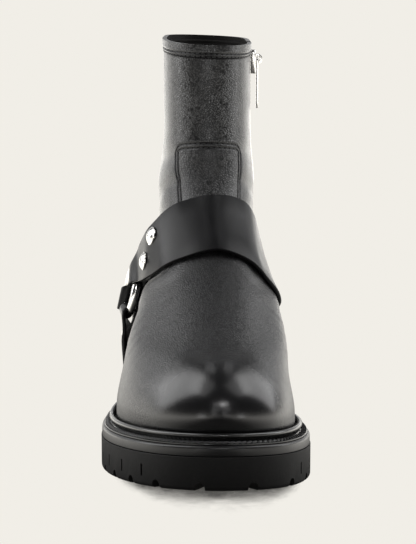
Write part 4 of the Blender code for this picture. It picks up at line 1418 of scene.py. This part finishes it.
RING_CENTRE = Vector((-42.3, 32.0, 82.5)) * MM
RING_LEAN = radians(12)
RING_YAW = radians(10)
RING_RADIUS = 14 * MM
WIRE_RADIUS = 2.3 * MM
RING_STEPS = 72
WIRE_STEPS = 20
ring_axis = Vector((-cos(RING_YAW), -sin(RING_YAW), 0)) * cos(RING_LEAN)
ring_axis.z = sin(RING_LEAN)
ring_front = Vector((sin(RING_YAW), -cos(RING_YAW), 0))
ring_up = ring_axis.cross(ring_front)
ring_up = ring_up if ring_up.z > 0 else -ring_up
ring_mesh = bmesh.new()
wire_turn = Matrix((ring_front, ring_axis, ring_front.cross(ring_axis))).transposed().to_4x4()
bmesh.ops.create_circle(
    ring_mesh,
    segments=WIRE_STEPS,
    radius=WIRE_RADIUS,
    matrix=Matrix.Translation(RING_CENTRE + ring_front * RING_RADIUS) @ wire_turn,
)
spin_round(ring_mesh, ring_mesh.verts[:] + ring_mesh.edges[:], RING_CENTRE, ring_axis, RING_STEPS)
bmesh.ops.recalc_face_normals(ring_mesh, faces=ring_mesh.faces)
harness_ring = piece("harness_ring_wire", ring_mesh, nickel, body="ring")
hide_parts("harness_ring")


# Harness straps: bands of smooth thick leather, folded round the ring and riveted back on themselves.
# One crosses the instep to the medial welt, one goes round the heel, and a short one drops to the welt.

STRAP_ACROSS = 13
STRAP_THICK = 2.2 * MM
FOLD_THICK = 4.2 * MM
LAYER_THICK = 2.05 * MM
STRAP_EDGE = 0.8 * MM
WIDEST_EDGE = 0.3
LOOK_FROM = 25 * MM
MOST_SAG = 4 * MM
REST = 0.45 * MM
STRAIGHT = 1.0
SOFT = 0.15
EVEN_OVER = 8 * MM
LOOP_SHIFT = 1.1 * MM
LOOP_HALF = 6.5 * MM
LOOP_CLEAR = 0.25 * MM
LOOP_CENTRE_RADIUS = WIRE_RADIUS + LOOP_CLEAR + LAYER_THICK / 2
LOOP_CLOSES = 11 * MM
LOOP_STEPS = 14
SKIVED_TO = 0.7 * MM
STRAP_STEP = 2 * MM
WELT_RISE = 3.2 * MM
Knot = namedtuple("Knot", "place normal half_width thick stiff")
Station = namedtuple("Station", "run under normal thick")
cover_tree = BVHTree.FromBMesh(cover)
cover.free()


def ring_direction(angle):
    return ring_front * cos(angle) + ring_up * sin(angle)


def rest_knot(y, z, side, half_width, lift=0.0, thick=STRAP_THICK, stiff=SOFT):
    """Where a strap's middle crosses the upper, given by its y and z on one side."""
    level, angle = find_on_upper(y * MM, z * MM, side)
    return Knot(on_upper(level, angle, lift), outward(level, angle), half_width, thick, stiff)


def line_knot(level, angle, half_width, stiff):
    """Where a strap's middle crosses the ridge line at angle 0 or the heel line at angle pi."""
    return Knot(on_upper(level, angle, 0), outward(level, angle), half_width, STRAP_THICK, stiff)


def loop_knot(angle):
    """The strap's middle where it meets its loop round the ring's wire."""
    middle = RING_CENTRE + ring_direction(angle) * (RING_RADIUS - LOOP_SHIFT)
    return Knot(middle - ring_axis * FOLD_THICK / 2, ring_axis, LOOP_HALF, FOLD_THICK, STRAIGHT)


def lift_needed(point, normal):
    """How far a point must move along the normal to lie on the leather, with the gap between."""
    reach = cover_tree.ray_cast(point + normal * LOOK_FROM, -normal, 2 * LOOK_FROM)[3]
    return 0.0 if reach is None else max(-MOST_SAG, LOOK_FROM - reach + REST)


def evened(values, reach):
    """The values evened out along the strap, none of them lowered."""

    def near(of, i):
        return of[max(0, i - reach) : i + reach + 1]

    highest = [max(near(values, i)) for i in range(len(values))]
    return [sum(near(highest, i)) / len(near(highest, i)) for i in range(len(values))]


def stations_along(knots):
    """Close-set stations on the smooth curve through the knots, lifted clear of the upper.

    A straight band keeps a straight line across; a soft one bends across to lie on the leather.
    """
    runs = runs_of([knot.place for knot in knots])
    count = round(runs[-1] / STRAP_STEP)

    def blend(run, pick):
        return curve_through(runs, [pick(knot) for knot in knots], run)

    def place_at(run):
        return Vector([blend(run, lambda knot, i=i: knot.place[i]) for i in range(3)])

    rows, lifts, normals = [], [], []
    steps = [runs[-1] * i / count for i in range(count + 1)]
    for run in steps:
        along = (place_at(run + MM) - place_at(run - MM)).normalized()
        normal = Vector([blend(run, lambda knot, i=i: knot.normal[i]) for i in range(3)])
        normal = (normal - along * normal.dot(along)).normalized()
        across = along.cross(normal) * blend(run, lambda knot: knot.half_width)
        row = [place_at(run) + across * (2 * j / (STRAP_ACROSS - 1) - 1) for j in range(STRAP_ACROSS)]
        needs = [lift_needed(point, normal) for point in row]
        stiff = max(0.0, min(1.0, blend(run, lambda knot: knot.stiff)))
        straight = max(0.0, *needs)
        rows.append(row)
        lifts.append([need + (straight - need) * stiff for need in needs])
        normals.append(normal)
    reach = round(EVEN_OVER / STRAP_STEP / 2)
    lifts = list(zip(*(evened(column, reach) for column in zip(*lifts))))
    return [
        Station(
            run,
            [point + normal * lift for point, lift in zip(row, raised)],
            normal,
            blend(run, lambda knot: knot.thick),
        )
        for run, row, raised, normal in zip(steps, rows, lifts, normals)
    ]


# A strap's section: where each point lies across from edge to edge, and through from under side to top.
EDGE_ARC = [(0.0, 0.5), (0.08, 0.78), (0.35, 0.95), (1.0, 1.0)]
FLAT_SHARES = [0.25, 0.5, 0.75]


def band_section(row, normal, thick):
    """The closed outline of a band whose middle layer passes through this row of points."""
    width = (row[-1] - row[0]).length
    edge = min(WIDEST_EDGE, STRAP_EDGE / width)

    def point(across, through):
        spot = across * (len(row) - 1)
        near = min(int(spot), len(row) - 2)
        return row[near].lerp(row[near + 1], spot - near) + normal * thick * (through - 0.5)

    right_edge = [(1 - edge * inset, through) for inset, through in EDGE_ARC]
    top_flat = [(1 - edge - (1 - 2 * edge) * share, 1.0) for share in FLAT_SHARES]
    left_edge = [(1 - across, through) for across, through in reversed(right_edge)]
    upper_half = right_edge + top_flat + left_edge
    lower_half = [(across, 1 - through) for across, through in reversed(upper_half[1:-1])]
    return [point(across, through) for across, through in upper_half + lower_half]


def band(sections):
    """A closed band over its sections."""
    size = len(sections[0])
    last = len(sections) - 1
    mesh = sheet(size, last, lambda u, v: sections[round(v * last)][round(u * size) % size])
    close_ends(mesh)
    return mesh


def shifted(row, normal, rise):
    return [point + normal * rise for point in row]


def folded_sections(stations, ring_angle):
    """The band's sections from its skived hidden end, round the wire, and along the strap."""
    out = ring_direction(ring_angle)
    middle = RING_CENTRE + out * (RING_RADIUS - LOOP_SHIFT)
    spread = LOOP_CENTRE_RADIUS - FOLD_THICK / 2 + LAYER_THICK / 2
    hidden, shown = [], []
    for station in stations:
        apart = spread * (1 - smooth_step(0, LOOP_CLOSES, station.run))
        top = station.thick - LAYER_THICK / 2 + apart
        shown.append(band_section(shifted(station.under, station.normal, top), station.normal, LAYER_THICK))
        spare = station.thick - LAYER_THICK
        if spare > SKIVED_TO:
            layer = min(LAYER_THICK, spare)
            row = shifted(station.under, station.normal, layer / 2 - apart)
            hidden.append(band_section(row, -station.normal, layer))
    bend = []
    first = stations[0]
    level_row = shifted(first.under, first.normal, first.thick / 2)
    for i in range(1, LOOP_STEPS):
        turn = pi / 2 + pi * (1 - i / LOOP_STEPS)
        spoke = out * cos(turn) + ring_axis * sin(turn)
        bend.append(band_section(shifted(level_row, spoke, LOOP_CENTRE_RADIUS), spoke, LAYER_THICK))
    return list(reversed(hidden)) + bend + shown


strap_leather = speckled(
    "strap_leather", LEATHER_COLOUR, rough=(0.28, 0.38), speckle=1500.0, depth=0.04 * MM, specular=0.15
)


def trim_along_welt(mesh, stations):
    """Cuts a strap off along the welt where its end goes down beside the bead."""
    foot = stations[-1].under[STRAP_ACROSS // 2]
    slope = (seat_line(foot.y + MM) - seat_line(foot.y - MM)) / (2 * MM)
    cut_place = Vector((foot.x, foot.y, seat_line(foot.y) + WELT_RISE))
    bmesh.ops.bisect_plane(
        mesh,
        geom=mesh.verts[:] + mesh.edges[:] + mesh.faces[:],
        plane_co=cut_place,
        plane_no=Vector((0, slope, -1)),
        clear_outer=True,
    )
    bmesh.ops.holes_fill(mesh, edges=[edge for edge in mesh.edges if edge.is_boundary])


def strap(name, ring_angle, knots):
    """A strap from its loop on the ring through the knots to the welt; its stations."""
    stations = stations_along([loop_knot(ring_angle), *knots])
    mesh = band(folded_sections(stations, ring_angle))
    trim_along_welt(mesh, stations)
    made = piece(name + "_leather", mesh, strap_leather)
    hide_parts(name)
    return stations


INSTEP_ANGLE = radians(48)
HEEL_ANGLE = radians(217)
SIDE_ANGLE = radians(297)
FALL_LOW = Vector((-32.0, 15.2, 100.6)) * MM
FALL_HIGH = Vector((-26.6, -2.4, 111.6)) * MM
FALL_EDGE = Vector((-14.0, -13.1, 121.3)) * MM
fall_normal = Vector((-0.91, -0.33, 0.24)).normalized()
edge_normal = Vector((-0.54, -0.58, 0.61)).normalized()
instep_stations = strap(
    "instep_strap",
    INSTEP_ANGLE,
    [
        Knot(FALL_LOW, fall_normal, 12 * MM, FOLD_THICK, STRAIGHT),
        Knot(FALL_HIGH, fall_normal, 15.8 * MM, STRAP_THICK, STRAIGHT),
        Knot(FALL_EDGE, edge_normal, 19.5 * MM, STRAP_THICK, STRAIGHT),
        line_knot(7.23, 0, 19.8 * MM, STRAIGHT),
        rest_knot(-3, 112.2, MEDIAL, 23.6 * MM),
        rest_knot(10.5, 97, MEDIAL, 21.5 * MM),
        rest_knot(33.5, 79.5, MEDIAL, 14.5 * MM),
        rest_knot(51, 61, MEDIAL, 12.3 * MM),
        rest_knot(58, 44, MEDIAL, 12 * MM),
    ],
)
heel_stations = strap(
    "heel_strap",
    HEEL_ANGLE,
    [
        rest_knot(70, 73, LATERAL, 10 * MM, lift=1 * MM, thick=FOLD_THICK, stiff=STRAIGHT),
        rest_knot(110, 82, LATERAL, 12 * MM),
        line_knot(3.7, pi, 12 * MM, SOFT),
        rest_knot(116, 87, MEDIAL, 12 * MM),
        rest_knot(99, 74, MEDIAL, 12 * MM),
        rest_knot(90, 61, MEDIAL, 12 * MM),
        rest_knot(86, 45, MEDIAL, 12 * MM),
    ],
)
SIDE_KNEE = Vector((-42.4, 26.5, 56.0)) * MM
SIDE_FOOT = Vector((-35.5, 27.0, 36.0)) * MM
side_normal = Vector((-0.95, 0.31, 0.10)).normalized()
side_stations = strap(
    "side_strap",
    SIDE_ANGLE,
    [
        Knot(SIDE_KNEE, side_normal, 10 * MM, STRAP_THICK, STRAIGHT),
        Knot(SIDE_FOOT, side_normal, 11.5 * MM, STRAP_THICK, STRAIGHT),
    ],
)


# Rivets: nickel-plated caps with domed heads and a thin flat rim.
# They are hammered through both layers of a strap's fold, and so close its loop round the ring.

RIVET_PROFILE = [(0.0, 2.5), (1.2, 2.42), (2.4, 2.12), (3.5, 1.62), (4.3, 1.0), (4.75, 0.55)]
RIVET_PROFILE += [(5.05, 0.5), (5.15, 0.3), (5.1, -0.3)]
RIVET_STEPS = 40


def top_place(stations, share, across):
    """A point on a band's top side and the way it faces.

    share is how far along the band it lies, and across runs from -1 at its upper edge to 1 at its lower.
    """
    run = share * (len(stations) - 1)
    near = min(int(run), len(stations) - 2)
    spot = (across + 1) / 2 * (STRAP_ACROSS - 1)
    column = min(int(spot), STRAP_ACROSS - 2)
    tops = []
    for station in stations[near : near + 2]:
        under = station.under[column].lerp(station.under[column + 1], spot - column)
        tops.append(under + station.normal * station.thick)
    normal = stations[near].normal.lerp(stations[near + 1].normal, run - near).normalized()
    return tops[0].lerp(tops[1], run - near), normal


def rivet(name, stations, share, across=0.0):
    spot, normal = top_place(stations, share, across)
    turn = normal.to_track_quat("Z", "Y").to_matrix().to_4x4()
    mesh = bmesh.new()
    profile = [mesh.verts.new((radius * MM, 0, rise * MM)) for radius, rise in RIVET_PROFILE]
    edges = [mesh.edges.new(pair) for pair in zip(profile, profile[1:])]
    spin_round(mesh, profile + edges, (0, 0, 0), (0, 0, 1), RIVET_STEPS)
    close_ends(mesh)
    bmesh.ops.transform(mesh, verts=mesh.verts, matrix=Matrix.Translation(spot) @ turn)
    made = piece(name + "_cap", mesh, nickel)
    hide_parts(name)


rivet("rivet_instep_low", instep_stations, 0.12, 0.25)
rivet("rivet_instep_high", instep_stations, 0.17, -0.5)
rivet("rivet_side", side_stations, 0.34)
rivet("rivet_heel_front", heel_stations, 0.085)
rivet("rivet_heel_back", heel_stations, 0.165)


# Studio: a pale floor that glows evenly to the camera, with a short shadow painted into its glow where the
# sole stands on it.
# Two tall soft panels lean over the boot from its sides, and narrow lamps stand in front and overhead.

scene = bpy.context.scene
scene.view_settings.view_transform = "Standard"
FLOOR_COLOUR = (0.879, 0.855, 0.799)
FLOOR_SIZE = 40.0
SHADOW_REACH = 0.020
SHADOW_DARK = 0.09
SHADOW_FROM = 0.235
SHADOW_CLEARS = 0.32
SHADOW_MIDDLE = 0.008
SHADOW_NARROWS = 75.0
SHADOW_SAMPLES = 16
BOUNCE_NEAR = 0.16
BOUNCE_FRONT = 0.05
DARK_MIDDLE = 0.45
DARK_HALF = 0.14
DARK_FADES = 0.26
BOUNCE_SIDE = 3.0
BOUNCE_BANDS = [(0.06, 0.0), (0.20, 1.0), (0.46, 1.0), (0.75, 0.55)]
floor_mesh = bmesh.new()
bmesh.ops.create_grid(floor_mesh, x_segments=1, y_segments=1, size=FLOOR_SIZE)
floor_data = bpy.data.meshes.new("floor")
floor_mesh.to_mesh(floor_data)
floor_mesh.free()
floor = bpy.data.objects.new("floor", floor_data)
scene.collection.objects.link(floor)
floor_paper = bpy.data.materials.new("floor_paper")
floor_paper.use_nodes = True
tree = floor_paper.node_tree
tree.nodes.clear()
floor_place = add_node(tree, "ShaderNodeSeparateXYZ", {"Vector": places(tree, "Object")})
# Painted shadow: the floor's glow dims where the boot hangs close over it, less so away from the middle.
shade = add_node(tree, "ShaderNodeAmbientOcclusion", {"Distance": SHADOW_REACH}, samples=SHADOW_SAMPLES)
sideways = work_out(tree, "SUBTRACT", floor_place.outputs["X"], SHADOW_MIDDLE)
off_middle = work_out(tree, "POWER", sideways, 2.0)
open_to_light = work_out(tree, "MULTIPLY_ADD", off_middle, SHADOW_NARROWS, shade.outputs["AO"])
shadow = eased(tree, open_to_light, SHADOW_FROM, SHADOW_CLEARS, SHADOW_DARK)
# Painted bounce: to the boot the floor's glow is brighter in bands to the sides and dimmer in front.
aside = work_out(tree, "ABSOLUTE", floor_place.outputs["X"])
bands = add_node(tree, "ShaderNodeValToRGB", {"Fac": aside})
while len(bands.color_ramp.elements) < len(BOUNCE_BANDS):
    bands.color_ramp.elements.new(1.0)
for element, (from_middle, share) in zip(bands.color_ramp.elements, BOUNCE_BANDS):
    element.position = from_middle
    element.color = (share, share, share, 1)
side_bounce = work_out(tree, "MULTIPLY", bands.outputs["Color"], BOUNCE_SIDE)
off_dark = work_out(tree, "ABSOLUTE", work_out(tree, "ADD", floor_place.outputs["Y"], DARK_MIDDLE))
front_bounce = eased(tree, off_dark, DARK_HALF, DARK_FADES, BOUNCE_FRONT, BOUNCE_NEAR)
bounce = work_out(tree, "MAXIMUM", side_bounce, front_bounce)
seen = add_node(tree, "ShaderNodeLightPath")
floor_light = add_node(
    tree, "ShaderNodeMix", {"Factor": seen.outputs["Is Camera Ray"], "A": bounce, "B": shadow}
)
glow = add_node(
    tree, "ShaderNodeEmission", {"Color": (*FLOOR_COLOUR, 1), "Strength": floor_light.outputs["Result"]}
)
clear = add_node(tree, "ShaderNodeBsdfTransparent")
facing = add_node(tree, "ShaderNodeNewGeometry")
one_sided = add_node(tree, "ShaderNodeMixShader", {"Fac": facing.outputs["Backfacing"]})
tree.links.new(glow.outputs["Emission"], one_sided.inputs[1])
tree.links.new(clear.outputs["BSDF"], one_sided.inputs[2])
paper_out = add_node(tree, "ShaderNodeOutputMaterial")
tree.links.new(one_sided.outputs["Shader"], paper_out.inputs["Surface"])
floor_data.materials.append(floor_paper)

WORLD_GLOW = 0.06
world = bpy.data.worlds.new("studio")
scene.world = world
world.use_nodes = True
tree = world.node_tree
tree.nodes.clear()
seen = add_node(tree, "ShaderNodeLightPath")
dim = add_node(tree, "ShaderNodeBackground", {"Color": (1, 1, 1, 1), "Strength": WORLD_GLOW})
pale = add_node(tree, "ShaderNodeBackground", {"Color": (*FLOOR_COLOUR, 1), "Strength": 1.0})
sky = add_node(tree, "ShaderNodeMixShader", {"Fac": seen.outputs["Is Camera Ray"]})
tree.links.new(dim.outputs["Background"], sky.inputs[1])
tree.links.new(pale.outputs["Background"], sky.inputs[2])
world_out = add_node(tree, "ShaderNodeOutputWorld")
tree.links.new(sky.outputs["Shader"], world_out.inputs["Surface"])

# The lamps: the way each lies from the boot, in degrees round from the toe and up, then its distance,
# width and height in metres, its roll in degrees, and its radiance.
BOOT_MIDDLE = Vector((0, 0, 0.1))
Panel = namedtuple("Panel", "name round_from_toe up distance width height roll radiance")
PANELS = [
    Panel("left_panel", -97, 33, 1.2, 0.85, 1.60, -36, 4.2),
    Panel("right_panel", 98, 34, 1.2, 0.85, 1.60, 36, 4.2),
    Panel("left_front_panel", -58, 54, 1.1, 0.75, 0.60, 0, 1.5),
    Panel("right_front_panel", 58, 54, 1.1, 0.75, 0.60, 0, 1.5),
    Panel("backdrop", 180, 8, 1.3, 3.00, 0.90, 0, 0.7),
    Panel("back_panel", 180, 50, 1.4, 1.40, 0.90, 0, 0.5),
    Panel("left_strip", -10, 12, 1.3, 0.03, 0.75, 0, 9.0),
    Panel("right_strip", 8, 12, 1.3, 0.03, 0.75, 0, 9.0),
    Panel("left_top_strip", -131, 75.5, 1.22, 0.03, 0.42, -49, 14.0),
    Panel("right_top_strip", 131, 75.5, 1.22, 0.03, 0.42, 49, 14.0),
    Panel("front_lamp", 4, 22, 1.2, 0.16, 0.08, 0, 36.0),
    Panel("left_toe_lamp", -23.4, -10.1, 0.371, 0.035, 0.025, 0, 9.0),
    Panel("right_toe_lamp", 24.4, -10.1, 0.371, 0.035, 0.025, 0, 9.0),
]
for panel in PANELS:
    light = bpy.data.lights.new(panel.name, "AREA")
    light.shape = "RECTANGLE"
    light.size = panel.width
    light.size_y = panel.height
    light.energy = panel.radiance * panel.width * panel.height * pi
    lamp = bpy.data.objects.new(panel.name, light)
    turn = radians(panel.round_from_toe)
    rise = radians(panel.up)
    away = Vector((sin(turn) * cos(rise), -cos(turn) * cos(rise), sin(rise)))
    lamp.location = BOOT_MIDDLE + away * panel.distance
    facing_boot = (-away).to_track_quat("-Z", "Y")
    lamp.rotation_euler = (facing_boot @ Quaternion((0, 0, 1), radians(panel.roll))).to_euler()
    lamp.visible_camera = False
    scene.collection.objects.link(lamp)

CAMERA_PLACE = Vector((0.0020, -1.0, 0.2602))
CAMERA_PITCH = radians(9.22)
LENS = 123.5
camera_data = bpy.data.cameras.new("camera")
camera_data.lens = LENS
camera = bpy.data.objects.new("camera", camera_data)
camera.location = CAMERA_PLACE
camera.rotation_euler = (pi / 2 - CAMERA_PITCH, 0, 0)
scene.collection.objects.link(camera)
scene.camera = camera
